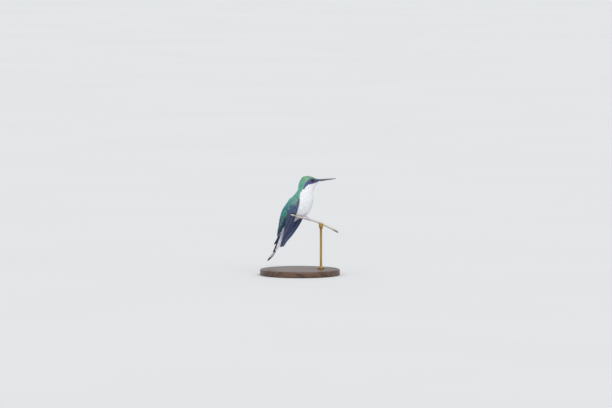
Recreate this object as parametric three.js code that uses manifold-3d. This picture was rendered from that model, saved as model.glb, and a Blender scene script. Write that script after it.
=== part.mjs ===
// A female fairy hummingbird (Heliothryx) at rest on a short cut twig, held by a plain display stand.
//
// Millimetres. +X is the way the bill points, +Y the bird's left, +Z up. The origin is the centre of
// the stand base's underside. The head looks straight along +X; from the neck down the body is
// turned to the bird's right, so its breast faces +X and -Y.

import * as THREE from 'three';
import { mergeVertices } from 'three/addons/utils/BufferGeometryUtils.js';
import Module from 'manifold-3d';

const wasm = await Module();
wasm.setup();

// ---- driving dimensions ----------------------------------------------------------------------

const gap = 0.3; // clearance between pieces that touch in life
const restGap = 0.1; // clearance between the stand's own flat faces

const bodyTurn = THREE.MathUtils.degToRad(25); // breast turned to the bird's right
const turnAxisX = 5; // the vertical line that the neck twists about

const billLength = 17;
const lowerBillLength = 16.75;
const billDepth = 2.5;
const billWidth = 2.5;
const billRise = THREE.MathUtils.degToRad(6.5);

const eyeRadius = 2.3;
const eyeProud = 0.55; // how far the eye stands out of the face feathers

const wingTipThickness = 0.7;
const wingArmThickness = 2.9;
const wingTipBulge = 0.2;
const wingArmBulge = 1.1; // of the arm and coverts over the flank; the flight feathers lie flatter

const rectrixThickness = 0.8;
const rectrixLayer = 0.45; // each outer tail feather lies this far under the next one in
const rectrixRise = 0.25; // lift of a tail feather's outer edge for each unit across

const tarsusRadius = 0.65;
const toeRadius = 0.45;
const clawTipRadius = 0.26;
const clawShare = 0.72; // of the toe's length at which the claw starts
const palmRadius = 0.8;
const toeSpread = 1.05;

const twigRadius = 1.0;
const twigTipRadius = 0.7;

const baseRadius = 40;
const baseHeight = 6;
const baseEdge = 1.2;
const rodRadius = 1.2;
const rodHeadRadius = 2.1;
const rodHeadHeight = 3.4; // from the foot of the head to the middle of the twig
const rodFlare = 2.6; // height over which the rod widens into its head
const rodX = 21;
const collarRadius = 3.6;
const collarHeight = 2.4;

// One row for each cut through head, neck and trunk, from the bill's base to the tail coverts, as
// seen from the side: back x and z, breast x and z, half width, and the share of the body's turn.
const bodyCuts = [
  [18.6, 95.9, 18.9, 93.4, 1.35, 0],
  [15.6, 97.1, 16.6, 91.0, 3.1, 0],
  [11.5, 98.7, 14.7, 88.2, 5.0, 0],
  [6.8, 99.4, 13.7, 85.4, 6.0, 0],
  [2.0, 97.9, 13.3, 81.8, 6.3, 0],
  [-1.4, 91.5, 13.2, 77.8, 6.3, 0.15],
  [-2.6, 85.0, 13.3, 75.0, 6.8, 0.35],
  [-7.3, 79.0, 13.1, 72.0, 8.2, 0.6],
  [-11.9, 74.0, 12.2, 68.5, 9.4, 0.8],
  [-15.4, 69.4, 10.9, 65.4, 9.9, 0.95],
  [-18.0, 65.0, 9.0, 62.0, 9.9, 1],
  [-19.6, 60.4, 5.9, 59.2, 9.3, 1],
  [-20.6, 56.0, 0.8, 57.0, 8.1, 1],
  [-21.3, 51.8, -4.5, 53.6, 6.8, 1],
  [-21.9, 47.6, -9.1, 49.5, 5.6, 1],
  [-22.7, 43.4, -13.4, 45.2, 4.4, 1],
];
const headEnd = 4.7; // in cuts
const neckEnd = 7.2;
const wingRoomStart = 5.7; // the wings and tail are cut clear of the body from here on
const cutClearance = 0.05; // in cuts, on each side of a parting
const breastFullness = 0.06; // the cut is wider than an ellipse towards the breast, narrower behind
const bodySides = 24;
const stepsPerCut = 2;

// ---- meshes and solids -----------------------------------------------------------------------

// A closed skin over a row of rings, each ring a list of as many points, with a fan over each end.
function skinRings(rings) {
  const sides = rings[0].length;
  const positions = [];
  for (const ring of rings) {
    for (const point of ring) positions.push(point.x, point.y, point.z);
  }
  const indices = [];
  for (let row = 0; row + 1 < rings.length; row += 1) {
    for (let side = 0; side < sides; side += 1) {
      const a = row * sides + side;
      const b = row * sides + ((side + 1) % sides);
      indices.push(a, b, b + sides, a, b + sides, a + sides);
    }
  }
  for (const end of [0, rings.length - 1]) {
    const middle = new THREE.Vector3();
    for (const point of rings[end]) middle.addScaledVector(point, 1 / sides);
    const hub = positions.length / 3;
    positions.push(middle.x, middle.y, middle.z);
    for (let side = 0; side < sides; side += 1) {
      const a = end * sides + side;
      const b = end * sides + ((side + 1) % sides);
      if (end === 0) indices.push(hub, b, a);
      else indices.push(hub, a, b);
    }
  }
  const geometry = new THREE.BufferGeometry();
  geometry.setAttribute('position', new THREE.Float32BufferAttribute(positions, 3));
  geometry.setIndex(indices);
  if (signedVolume(geometry) < 0) geometry.setIndex(indices.reverse());
  return geometry;
}

function signedVolume(geometry) {
  const position = geometry.getAttribute('position');
  const index = geometry.getIndex();
  const corners = [new THREE.Vector3(), new THREE.Vector3(), new THREE.Vector3()];
  let volume = 0;
  for (let i = 0; i < index.count; i += 3) {
    corners.forEach((corner, k) => corner.fromBufferAttribute(position, index.getX(i + k)));
    volume += corners[0].dot(corners[1].cross(corners[2])) / 6;
  }
  return volume;
}

function toSolid(geometry) {
  const plain = geometry.clone();
  plain.deleteAttribute('normal');
  plain.deleteAttribute('uv');
  const merged = mergeVertices(plain, 1e-5);
  return new wasm.Manifold(new wasm.Mesh({
    numProp: 3,
    vertProperties: merged.getAttribute('position').array,
    triVerts: new Uint32Array(merged.getIndex().array),
  }));
}

// The solid's largest body as a geometry.
function toGeometry(solid) {
  const bodies = solid.decompose().sort((a, b) => b.volume() - a.volume());
  const mesh = bodies[0].getMesh();
  const geometry = new THREE.BufferGeometry();
  geometry.setAttribute('position', new THREE.Float32BufferAttribute(mesh.vertProperties, 3));
  geometry.setIndex(Array.from(mesh.triVerts));
  return geometry;
}

const joined = (solids) => solids.reduce((whole, solid) => whole.add(solid));

// A smooth curve through points given as [x, y, z].
function curveThrough(points) {
  const vectors = points.map((point) => new THREE.Vector3(...point));
  return new THREE.CatmullRomCurve3(vectors, false, 'catmullrom', 0.5);
}

// A round tube along a curve, its radius a function of the share of the curve passed.
function taperedTube(curve, radiusAt, steps, sides) {
  const frames = curve.computeFrenetFrames(steps);
  const rings = [];
  for (let step = 0; step <= steps; step += 1) {
    const share = step / steps;
    const centre = curve.getPointAt(share);
    const ring = [];
    for (let side = 0; side < sides; side += 1) {
      const angle = (2 * Math.PI * side) / sides;
      ring.push(centre.clone()
        .addScaledVector(frames.normals[step], radiusAt(share) * Math.cos(angle))
        .addScaledVector(frames.binormals[step], radiusAt(share) * Math.sin(angle)));
    }
    rings.push(ring);
  }
  return skinRings(rings);
}

// A thin blade. sectionAt(share) gives its centre, its across direction, half width and half thickness,
// and how far it bulges along its normal between its edges.
function blade(sectionAt, steps, sides) {
  const nudge = 0.01;
  const rings = [];
  for (let step = 0; step <= steps; step += 1) {
    const share = step / steps;
    const section = sectionAt(share);
    const ahead = sectionAt(Math.min(1, share + nudge)).centre;
    const behind = sectionAt(Math.max(0, share - nudge)).centre;
    const normal = ahead.sub(behind).cross(section.across).normalize();
    const ring = [];
    for (let side = 0; side < sides; side += 1) {
      const angle = (2 * Math.PI * side) / sides;
      const rise = section.halfThickness * Math.sin(angle) + section.bulge * Math.sin(angle) ** 2;
      ring.push(section.centre.clone()
        .addScaledVector(section.across, section.halfWidth * Math.cos(angle))
        .addScaledVector(normal, rise));
    }
    rings.push(ring);
  }
  return skinRings(rings);
}

const group = new THREE.Group();

function addMesh(name, geometry, material) {
  const mesh = new THREE.Mesh(geometry, material);
  mesh.name = name;
  group.add(mesh);
}

function surface(color, roughness, metalness = 0) {
  return new THREE.MeshStandardMaterial({ color, roughness, metalness });
}

const materials = {
  green: surface(0x5f9f7c, 0.45),
  white: surface(0xe6e8ec, 0.9),
  navy: surface(0x262c42, 0.4),
  eye: surface(0x0c0b10, 0.05),
  bill: surface(0x1d1b26, 0.35),
  foot: surface(0x9a8ba0, 0.6),
  twig: surface(0xb9b0a4, 0.85),
  wood: surface(0x4a3427, 0.5),
  brass: surface(0xb08d4f, 0.3, 1),
};

// ---- head, neck and trunk --------------------------------------------------------------------

// A point that lies x forward and z up in the mid-plane of a bird turned by an angle, and out to its left.
function turnedPoint(x, z, left, turn) {
  const y = -(x - turnAxisX) * Math.tan(turn);
  return new THREE.Vector3(x + left * Math.sin(turn), y + left * Math.cos(turn), z);
}

const trunkPoint = (x, z, left) => turnedPoint(x, z, left, bodyTurn);

const backLine = curveThrough(bodyCuts.map(([x, z]) => [x, 0, z]));
const breastLine = curveThrough(bodyCuts.map((cut) => [cut[2], 0, cut[3]]));
const widthLine = curveThrough(bodyCuts.map((cut) => [cut[4], cut[5], 0]));

// One cut through the body, swollen by grow. The turned body's sides reach past its mid-plane as seen
// from the side, so the cut in the mid-plane is that much shorter than the outline.
function bodyRing(cut, grow) {
  const share = cut / (bodyCuts.length - 1);
  const back = backLine.getPoint(share);
  const breast = breastLine.getPoint(share);
  const { x: halfWidth, y: turnShare } = widthLine.getPoint(share);
  const turn = turnShare * bodyTurn;
  const middle = back.clone().add(breast).multiplyScalar(0.5);
  const halfCut = back.distanceTo(breast) / 2;
  const kept = Math.sqrt(1 - ((halfWidth * Math.sin(turn)) / halfCut) ** 2);
  const reach = back.sub(middle).multiplyScalar(kept + grow / halfCut);
  const ring = [];
  for (let side = 0; side < bodySides; side += 1) {
    const angle = (2 * Math.PI * side) / bodySides;
    const along = Math.cos(angle);
    const out = (halfWidth + grow) * Math.sin(angle) * (1 - breastFullness * along);
    ring.push(turnedPoint(middle.x + reach.x * along, middle.z + reach.z * along, out, turn));
  }
  return ring;
}

function bodyLength(from, to, grow = 0) {
  const steps = Math.ceil((to - from) * stepsPerCut);
  const rings = [];
  for (let step = 0; step <= steps; step += 1) {
    rings.push(bodyRing(THREE.MathUtils.lerp(from, to, step / steps), grow));
  }
  return toSolid(skinRings(rings));
}

const lastCut = bodyCuts.length - 1;

// ---- eyes ------------------------------------------------------------------------------------

const eyeX = 12.0;
const eyeZ = 94.5;
const faceHalfWidth = 4.95; // of the head at the eye
const eyeY = faceHalfWidth + eyeProud - eyeRadius;

function eyeball(side, grow) {
  const geometry = new THREE.SphereGeometry(eyeRadius + grow, 16, 10);
  geometry.translate(eyeX, side * eyeY, eyeZ);
  return geometry;
}

// ---- bill ------------------------------------------------------------------------------------

const billRoot = new THREE.Vector3(18.75, 0, 94.65);
const billSlit = 0.12; // between the closed mandibles
const billTipShare = 0.2; // of the depth and width at the root
const billTaper = 0.9;

// One mandible, a half round that tapers to a fine tip: upper is +1 or -1, depthShare its part of
// the closed bill's depth.
function mandible(upper, length, depthShare) {
  const forward = new THREE.Vector3(Math.cos(billRise), 0, Math.sin(billRise));
  const up = new THREE.Vector3(-Math.sin(billRise), 0, Math.cos(billRise));
  const steps = 9;
  const sides = 10;
  const rings = [];
  for (let step = 0; step <= steps; step += 1) {
    const share = step / steps;
    const size = billTipShare + (1 - billTipShare) * (1 - share) ** billTaper;
    const ring = [];
    for (let side = 0; side < sides; side += 1) {
      const angle = (Math.PI * side) / (sides - 1);
      const height = depthShare * billDepth * size * Math.sin(angle) + billSlit / 2;
      ring.push(billRoot.clone()
        .addScaledVector(forward, gap + length * share)
        .addScaledVector(up, upper * height)
        .add(new THREE.Vector3(0, (billWidth / 2) * size * Math.cos(angle), 0)));
    }
    rings.push(ring);
  }
  return skinRings(rings);
}

// ---- wings -----------------------------------------------------------------------------------

// Each row: front edge x, z and distance out from the mid-plane, the same for the rear edge, and the
// share of the body's turn, from the shoulder to the tip of the folded, drooped wing.
const wingCuts = [
  [-0.8, 77.6, 6.4, -3.6, 78.0, 5.6, 0.55],
  [1.4, 75.8, 8.2, -6.6, 76.2, 6.0, 0.62],
  [2.2, 72.8, 9.4, -8.4, 73.0, 6.9, 0.75],
  [2.0, 68.0, 10.0, -8.8, 68.0, 8.3, 0.92],
  [0.7, 61.8, 10.2, -8.8, 61.4, 9.0, 1],
  [-1.7, 54.6, 9.6, -10.5, 53.6, 7.9, 1],
  [-5.5, 46.4, 7.5, -13.3, 45.2, 5.7, 1],
  [-10.6, 38.6, 5.5, -15.6, 37.4, 4.2, 1],
  [-15.3, 32.2, 3.6, -17.9, 31.2, 3.0, 1],
  [-18.0, 27.2, 2.4, -19.3, 27.6, 2.1, 1],
];
const wingFront = curveThrough(wingCuts.map((cut) => [cut[0], cut[2], cut[1]]));
const wingRear = curveThrough(wingCuts.map((cut) => [cut[3], cut[5], cut[4]]));
const wingTurn = curveThrough(wingCuts.map((cut) => [cut[6], 0, 0]));
const wingThinAt = 0.8; // share of the wing's length from which it is as thin as its tip
const wingFullAt = 0.13; // share at which the shoulder, tucked into the flank, has swollen in full
const wingShoulderShare = 0.4; // of the full swell at the shoulder itself
const wingSteps = 18;
const wingSides = 12;

function wing(side) {
  const sectionAt = (share) => {
    const front = wingFront.getPoint(share);
    const rear = wingRear.getPoint(share);
    const turn = wingTurn.getPoint(share).x * bodyTurn;
    const frontPoint = turnedPoint(front.x, front.z, side * front.y, turn);
    const rearPoint = turnedPoint(rear.x, rear.z, side * rear.y, turn);
    const across = frontPoint.clone().sub(rearPoint);
    const tipShare = Math.min(1, share / wingThinAt);
    const risen = THREE.MathUtils.smoothstep(share, 0, wingFullAt);
    const swell = THREE.MathUtils.lerp(wingShoulderShare, 1, risen);
    return {
      centre: frontPoint.add(rearPoint).multiplyScalar(0.5),
      halfWidth: across.length() / 2,
      across: across.normalize(),
      halfThickness: (swell * THREE.MathUtils.lerp(wingArmThickness, wingTipThickness, tipShare)) / 2,
      bulge: -side * swell * THREE.MathUtils.lerp(wingArmBulge, wingTipBulge, tipShare),
    };
  };
  return toSolid(blade(sectionAt, wingSteps, wingSides));
}

// ---- tail ------------------------------------------------------------------------------------

// The mid lines of the folded tail: the short middle pair on top, the two long pairs, and the
// outer pairs, held a little loose below them.
const tailTop = curveThrough([
  [-16.8, 0, 45.2], [-19.2, 0, 40.4], [-22.0, 0, 34.1], [-25.0, 0, 29.4],
]);
const tailLong = curveThrough([
  [-16.4, 0, 46.0], [-19.4, 0, 37.6], [-24.4, 0, 24.6], [-27.6, 0, 18.4], [-32.0, 0, 12.8],
]);
const tailSide = curveThrough([
  [-16.0, 0, 46.0], [-17.4, 0, 40.0], [-19.2, 0, 34.0], [-21.4, 0, 28.0], [-23.6, 0, 23.0],
]);
// From the middle feather outwards: share of its line, half width, distance out at root and tip.
const rectrices = [
  { line: tailTop, reach: 1, halfWidth: 2.6, rootOut: 1.0, tipOut: 1.4, layer: 0 },
  { line: tailLong, reach: 1, halfWidth: 2.8, rootOut: 1.0, tipOut: 1.0, layer: 0 },
  { line: tailLong, reach: 0.86, halfWidth: 2.3, rootOut: 2.0, tipOut: 2.2, layer: 1 },
  { line: tailSide, reach: 1, halfWidth: 2.5, rootOut: 1.5, tipOut: 1.5, layer: 0 },
  { line: tailSide, reach: 0.85, halfWidth: 2.3, rootOut: 1.9, tipOut: 2.1, layer: 1 },
];
const rectrixSteps = 6;
const rectrixSides = 6;

// How wide a tail feather is along its length, as a share of its half width: full, then a round tip.
function featherFullness(share) {
  const roundFrom = 0.55;
  const roundOver = 0.47;
  const rounding = Math.max(0, (share - roundFrom) / roundOver) ** 2.6;
  return Math.sqrt(1 - rounding) * (0.8 + 0.2 * share);
}

function rectrix(feather, side) {
  const sectionAt = (share) => {
    const place = feather.line.getPoint(share * feather.reach);
    const tangent = feather.line.getTangent(share * feather.reach);
    const out = side * THREE.MathUtils.lerp(feather.rootOut, feather.tipOut, share);
    const under = feather.layer * rectrixLayer - rectrixRise * Math.abs(out);
    const x = place.x - tangent.z * under;
    const z = place.z + tangent.x * under;
    const centre = trunkPoint(x, z, out);
    const outer = trunkPoint(x + tangent.z * rectrixRise, z - tangent.x * rectrixRise, out + side);
    return {
      centre,
      across: outer.sub(centre).normalize(),
      halfWidth: feather.halfWidth * featherFullness(share),
      halfThickness: rectrixThickness / 2,
      bulge: 0,
    };
  };
  return toSolid(blade(sectionAt, rectrixSteps, rectrixSides));
}

// The butts of the tail feathers, joined under the coverts: middle x and z, half depth, half width.
const tailRootCuts = [[-17.6, 43.9, 3.4, 3.6], [-18.8, 41.2, 2.8, 4.0], [-20.2, 37.6, 1.6, 3.2]];
const tailRootLean = 0.18; // rise of each cut towards the belly for each unit forward
const tailRootSides = 12;

function tailRoot() {
  const rings = [];
  for (const [x, z, halfDepth, halfWidth] of tailRootCuts) {
    const ring = [];
    for (let side = 0; side < tailRootSides; side += 1) {
      const angle = (2 * Math.PI * side) / tailRootSides;
      const ahead = halfDepth * Math.cos(angle);
      ring.push(trunkPoint(x + ahead, z + tailRootLean * ahead, halfWidth * Math.sin(angle)));
    }
    rings.push(ring);
  }
  return toSolid(skinRings(rings));
}

// ---- twig ------------------------------------------------------------------------------------

const twigLine = curveThrough([
  [-9.0, -12.4, 61.4], [-4.0, -9.6, 59.8], [0.0, -7.3, 58.4], [5.0, -4.6, 57.0],
  [11.0, -1.7, 55.4], [20.0, 2.5, 51.9], [30.0, 7.0, 46.8], [38.0, 10.6, 42.2],
]);
const twigTaper = 1 / 3; // share of the twig over which it grows to its full radius
const twigSteps = 22;
const twigSides = 8;

function twig(grow) {
  const radiusAt = (share) => (
    grow + THREE.MathUtils.lerp(twigTipRadius, twigRadius, Math.min(1, share / twigTaper))
  );
  return toSolid(taperedTube(twigLine, radiusAt, twigSteps, twigSides));
}

// The share of the twig's length at which it crosses a given x.
function twigShareAt(x) {
  let low = 0;
  let high = 1;
  for (let round = 0; round < 30; round += 1) {
    const middle = (low + high) / 2;
    if (twigLine.getPointAt(middle).x < x) low = middle;
    else high = middle;
  }
  return low;
}

// ---- legs ------------------------------------------------------------------------------------

const forward = new THREE.Vector3(Math.cos(bodyTurn), -Math.sin(bodyTurn), 0);
const legs = {
  right: { gripX: 3.9, hip: trunkPoint(-2.5, 62.5, -3.6), heel: trunkPoint(-0.6, 59.6, -3.4) },
  left: { gripX: 8.2, hip: trunkPoint(-1.0, 63.0, 3.6), heel: trunkPoint(1.6, 60.0, 3.0) },
};

const toeSteps = 8;
const toeSides = 6;
const shankSteps = 6;
const shankSides = 8;
const frontToe = { from: -10, to: 165 }; // degrees round the twig, from its top towards the front
const hindToe = { from: 10, to: -150 };
const toeRootShare = 0.4; // of its spread along the twig that a toe has at its root

// A toe that bends round the twig, spreading along it as it goes.
function toe(grip, along, { from, to }, grow) {
  const radius = twigRadius + gap + toeRadius;
  const points = [];
  const bends = 6;
  for (let bend = 0; bend <= bends; bend += 1) {
    const angle = THREE.MathUtils.degToRad(THREE.MathUtils.lerp(from, to, bend / bends));
    points.push(grip.centre.clone()
      .addScaledVector(grip.axis, along * THREE.MathUtils.lerp(toeRootShare, 1, bend / bends))
      .addScaledVector(grip.up, radius * Math.cos(angle))
      .addScaledVector(grip.front, radius * Math.sin(angle)));
  }
  const curve = new THREE.CatmullRomCurve3(points);
  const radiusAt = (share) => {
    const clawPassed = Math.max(0, (share - clawShare) / (1 - clawShare));
    return grow + THREE.MathUtils.lerp(toeRadius, clawTipRadius, clawPassed);
  };
  return toSolid(taperedTube(curve, radiusAt, toeSteps, toeSides));
}

function leg({ gripX, hip, heel }, grow) {
  const share = twigShareAt(gripX);
  const centre = twigLine.getPointAt(share);
  const axis = twigLine.getTangentAt(share);
  const up = new THREE.Vector3(0, 0, 1).addScaledVector(axis, -axis.z).normalize();
  const front = up.clone().cross(axis).normalize();
  if (front.dot(forward) < 0) front.negate();
  const grip = { centre, axis, up, front };
  const footTop = centre.clone().addScaledVector(up, twigRadius + gap + toeRadius);
  const shank = new THREE.CatmullRomCurve3([hip, heel, footTop]);
  const pieces = [toSolid(taperedTube(shank, () => tarsusRadius + grow, shankSteps, shankSides))];
  const palm = new THREE.SphereGeometry(palmRadius + grow, 8, 5);
  palm.translate(footTop.x, footTop.y, footTop.z + palmRadius - tarsusRadius);
  pieces.push(toSolid(palm));
  for (const along of [-toeSpread, 0, toeSpread]) pieces.push(toe(grip, along, frontToe, grow));
  pieces.push(toe(grip, 0, hindToe, grow));
  return joined(pieces);
}

// ---- stand -----------------------------------------------------------------------------------

// A turned piece with an upright axis, from a profile of radius and height.
function turned(profile, segments) {
  const geometry = new THREE.LatheGeometry(profile.map(([x, y]) => new THREE.Vector2(x, y)), segments);
  geometry.rotateX(Math.PI / 2);
  return geometry;
}

const rodShare = twigShareAt(rodX);
const rodFoot = twigLine.getPointAt(rodShare);
const rodStart = baseHeight + restGap;
const rodLip = 0.2; // rise of the rod's head above the middle of the twig

// A disc with rounded edges.
function standBase() {
  const outline = new THREE.Path();
  outline.moveTo(0, 0);
  outline.lineTo(baseRadius - baseEdge, 0);
  outline.absarc(baseRadius - baseEdge, baseEdge, baseEdge, -Math.PI / 2, 0);
  outline.absarc(baseRadius - baseEdge, baseHeight - baseEdge, baseEdge, 0, Math.PI / 2);
  outline.lineTo(0, baseHeight);
  return turned(outline.getPoints(2).map((point) => [point.x, point.y]), 36);
}

// A rod whose head is notched for the twig.
function standRod(twigRoom) {
  const headFoot = rodFoot.z - rodHeadHeight;
  const top = rodFoot.z + rodLip;
  const profile = [
    [0, rodStart], [rodRadius, rodStart], [rodRadius, headFoot - rodFlare],
    [rodHeadRadius, headFoot], [rodHeadRadius, top], [0, top],
  ];
  const geometry = turned(profile, 16);
  geometry.translate(rodFoot.x, rodFoot.y, 0);
  return toSolid(geometry).subtract(twigRoom);
}

// A low ring round the rod's foot, sloping from its rim up to the rod.
function standCollar() {
  const inner = rodRadius + gap;
  const neck = inner + 0.7;
  const rimTop = rodStart + collarHeight * 0.45;
  const top = rodStart + collarHeight;
  const profile = [
    [inner, rodStart], [collarRadius, rodStart], [collarRadius, rimTop], [neck, top], [inner, top],
    [inner, rodStart],
  ];
  const geometry = turned(profile, 20);
  geometry.translate(rodFoot.x, rodFoot.y, 0);
  return geometry;
}

// ---- the whole -------------------------------------------------------------------------------

const legRight = leg(legs.right, 0);
const legLeft = leg(legs.left, 0);
const legRoom = leg(legs.right, gap).add(leg(legs.left, gap));
const eyeRoom = toSolid(eyeball(1, gap)).add(toSolid(eyeball(-1, gap)));
const trunkRoom = bodyLength(wingRoomStart, lastCut, gap);
const tailFeathers = rectrices.flatMap((feather) => [rectrix(feather, 1), rectrix(feather, -1)]);
const tail = joined([tailRoot(), ...tailFeathers]);

const head = bodyLength(0, headEnd - cutClearance).subtract(eyeRoom);
const neck = bodyLength(headEnd + cutClearance, neckEnd - cutClearance);
const trunk = bodyLength(neckEnd + cutClearance, lastCut).subtract(legRoom);

addMesh('head', toGeometry(head), materials.green);
addMesh('neck', toGeometry(neck), materials.green);
addMesh('trunk', toGeometry(trunk), materials.white);
addMesh('eye_right', eyeball(-1, 0), materials.eye);
addMesh('eye_left', eyeball(1, 0), materials.eye);
addMesh('bill_upper', mandible(1, billLength, 0.55), materials.bill);
addMesh('bill_lower', mandible(-1, lowerBillLength, 0.4), materials.bill);
addMesh('wing_right', toGeometry(wing(-1).subtract(trunkRoom)), materials.navy);
addMesh('wing_left', toGeometry(wing(1).subtract(trunkRoom)), materials.navy);
addMesh('tail', toGeometry(tail.subtract(trunkRoom)), materials.navy);
addMesh('leg_right', toGeometry(legRight), materials.foot);
addMesh('leg_left', toGeometry(legLeft), materials.foot);
addMesh('perch', toGeometry(twig(0)), materials.twig);
addMesh('stand_rod', toGeometry(standRod(twig(gap))), materials.brass);
addMesh('stand_collar', standCollar(), materials.brass);
addMesh('stand_base', standBase(), materials.wood);

export default group;
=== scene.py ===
"""Looks of a female fairy hummingbird at rest on a cut twig, held by a plain display stand.

Lengths here are in millimetres, in the CAD frame (+X the way the bill points, +Y the bird's left,
+Z up), and become metres as each mesh is made. The body's shape is the CAD part's own: the same
cuts, wing edges and tail lines, so that every feather lies where the solid says.
"""

import math

import bpy
import numpy as np
from mathutils.kdtree import KDTree
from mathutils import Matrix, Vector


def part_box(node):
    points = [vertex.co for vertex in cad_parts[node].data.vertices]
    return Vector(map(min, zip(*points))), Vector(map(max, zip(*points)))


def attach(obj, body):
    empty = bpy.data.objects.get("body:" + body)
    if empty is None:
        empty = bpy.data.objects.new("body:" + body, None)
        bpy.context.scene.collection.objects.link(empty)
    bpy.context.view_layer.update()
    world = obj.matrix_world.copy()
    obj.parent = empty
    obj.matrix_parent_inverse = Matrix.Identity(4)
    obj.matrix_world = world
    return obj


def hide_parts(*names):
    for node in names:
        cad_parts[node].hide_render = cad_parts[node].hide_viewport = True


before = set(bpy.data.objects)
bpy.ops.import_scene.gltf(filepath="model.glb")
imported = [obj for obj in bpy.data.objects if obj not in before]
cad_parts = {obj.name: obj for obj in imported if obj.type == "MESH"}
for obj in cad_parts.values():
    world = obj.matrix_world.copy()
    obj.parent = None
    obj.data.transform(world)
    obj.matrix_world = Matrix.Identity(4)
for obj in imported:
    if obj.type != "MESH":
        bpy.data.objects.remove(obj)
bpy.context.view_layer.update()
MM = 0.001
AHEAD = np.array((1.0, 0, 0))
LEFT = np.array((0, 1.0, 0))
UP = np.array((0, 0, 1.0))
rng = np.random.default_rng(7)


# ---- small helpers ---------------------------------------------------------------------------


def unit(vectors):
    """Vectors scaled to length one, along the last axis."""
    return vectors / np.maximum(np.linalg.norm(vectors, axis=-1, keepdims=True), 1e-9)


def dot(a, b):
    return np.sum(a * b, axis=-1, keepdims=True)


def mix(a, b, share):
    return a + (b - a) * share


def smooth(low, high, value):
    """0 below low, 1 above high, and an even S between."""
    share = np.clip((value - low) / (high - low), 0, 1)
    return share * share * (3 - 2 * share)


def bell(value, middle, width):
    """A hump one high, round a middle."""
    return np.exp(-(((value - middle) / width) ** 2))


def circle(sides):
    """Angles evenly spaced once round."""
    return 2 * math.pi * np.arange(sides) / sides


def spokes(first, second, angle):
    """Directions at some angles from first, towards second."""
    return first * np.cos(angle)[..., None] + second * np.sin(angle)[..., None]


def spline(rows, at):
    """A uniform Catmull-Rom curve through rows, at positions counted in rows, as three.js draws it."""
    rows = np.asarray(rows, float)
    at = np.clip(np.asarray(at, float), 0, len(rows) - 1 - 1e-9)
    padded = np.vstack([2 * rows[0] - rows[1], rows, 2 * rows[-1] - rows[-2]])
    low = at.astype(int)
    w = (at - low)[..., None]
    before, start, end, after = (padded[low + k] for k in range(4))
    leave = (end - before) / 2
    arrive = (after - start) / 2
    return (
        (2 * w**3 - 3 * w**2 + 1) * start
        + (w**3 - 2 * w**2 + w) * leave
        + (-2 * w**3 + 3 * w**2) * end
        + (w**3 - w**2) * arrive
    )


def linear(srgb):
    """A colour given as 0 to 255 sRGB, as linear numbers."""
    value = np.asarray(srgb, float) / 255
    return np.where(value <= 0.04045, value / 12.92, ((value + 0.055) / 1.055) ** 2.4)


def paint(srgb):
    """The same as a shader takes it, opaque."""
    return (*linear(srgb), 1)


def blend(*parts):
    """Colours mixed in turn: each part after the first is (colour, share)."""
    colour = parts[0]
    for layer, share in parts[1:]:
        colour = mix(colour, layer, np.asarray(share)[..., None])
    return colour


def with_alpha(colours, alpha):
    """RGBA from colours [..., rgb] and an alpha for each, or one for all."""
    alpha = np.broadcast_to(np.asarray(alpha, float)[..., None], colours.shape[:-1] + (1,))
    return np.concatenate([colours, alpha], axis=-1)


# ---- the body's shape ------------------------------------------------------------------------

BODY_TURN = math.radians(25)
TURN_AXIS_X = 5.0
BREAST_FULLNESS = 0.06
# back x and z, breast x and z, half width, share of the turn, for each cut from bill to tail
BODY_CUTS = np.array([
    (18.6, 95.9, 18.9, 93.4, 1.35, 0),
    (15.6, 97.1, 16.6, 91.0, 3.1, 0),
    (11.5, 98.7, 14.7, 88.2, 5.0, 0),
    (6.8, 99.4, 13.7, 85.4, 6.0, 0),
    (2.0, 97.9, 13.3, 81.8, 6.3, 0),
    (-1.4, 91.5, 13.2, 77.8, 6.3, 0.15),
    (-2.6, 85.0, 13.3, 75.0, 6.8, 0.35),
    (-7.3, 79.0, 13.1, 72.0, 8.2, 0.6),
    (-11.9, 74.0, 12.2, 68.5, 9.4, 0.8),
    (-15.4, 69.4, 10.9, 65.4, 9.9, 0.95),
    (-18.0, 65.0, 9.0, 62.0, 9.9, 1),
    (-19.6, 60.4, 5.9, 59.2, 9.3, 1),
    (-20.6, 56.0, 0.8, 57.0, 8.1, 1),
    (-21.3, 51.8, -4.5, 53.6, 6.8, 1),
    (-21.9, 47.6, -9.1, 49.5, 5.6, 1),
    (-22.7, 43.4, -13.4, 45.2, 4.4, 1),
    (-23.2, 39.6, -17.4, 40.6, 4.2, 1),
    (-23.4, 36.2, -19.0, 36.8, 3.9, 1),
])
LAST_CUT = 15.0  # of the body itself; over the two cuts after it, coverts reach on to the tail's root


def turned_point(x, z, left, turn=BODY_TURN):
    """x forward and z up in the mid-plane of a bird turned by an angle, and out to its left."""
    y = -(x - TURN_AXIS_X) * np.tan(turn) + left * np.cos(turn)
    return np.stack([x + left * np.sin(turn), y, z + 0 * y], axis=-1)


def body_point(cut, angle, depth=0.0):
    """A point on the plumage's outer surface, or depth under it. Angles run from the back, + to the left."""
    cut, angle, depth = np.broadcast_arrays(*(np.asarray(v, float) for v in (cut, angle, depth)))
    row = spline(BODY_CUTS, cut)
    back, breast, half_width, turn = row[..., 0:2], row[..., 2:4], row[..., 4], row[..., 5] * BODY_TURN
    half_cut = np.linalg.norm(back - breast, axis=-1) / 2
    kept = np.sqrt(1 - (half_width * np.sin(turn) / half_cut) ** 2) - depth / half_cut
    along = np.cos(angle)
    spot = (back + breast) / 2 + (back - breast) / 2 * kept[..., None] * along[..., None]
    out = (half_width - depth) * np.sin(angle) * (1 - BREAST_FULLNESS * along)
    return turned_point(spot[..., 0], spot[..., 1], out, turn)


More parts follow.
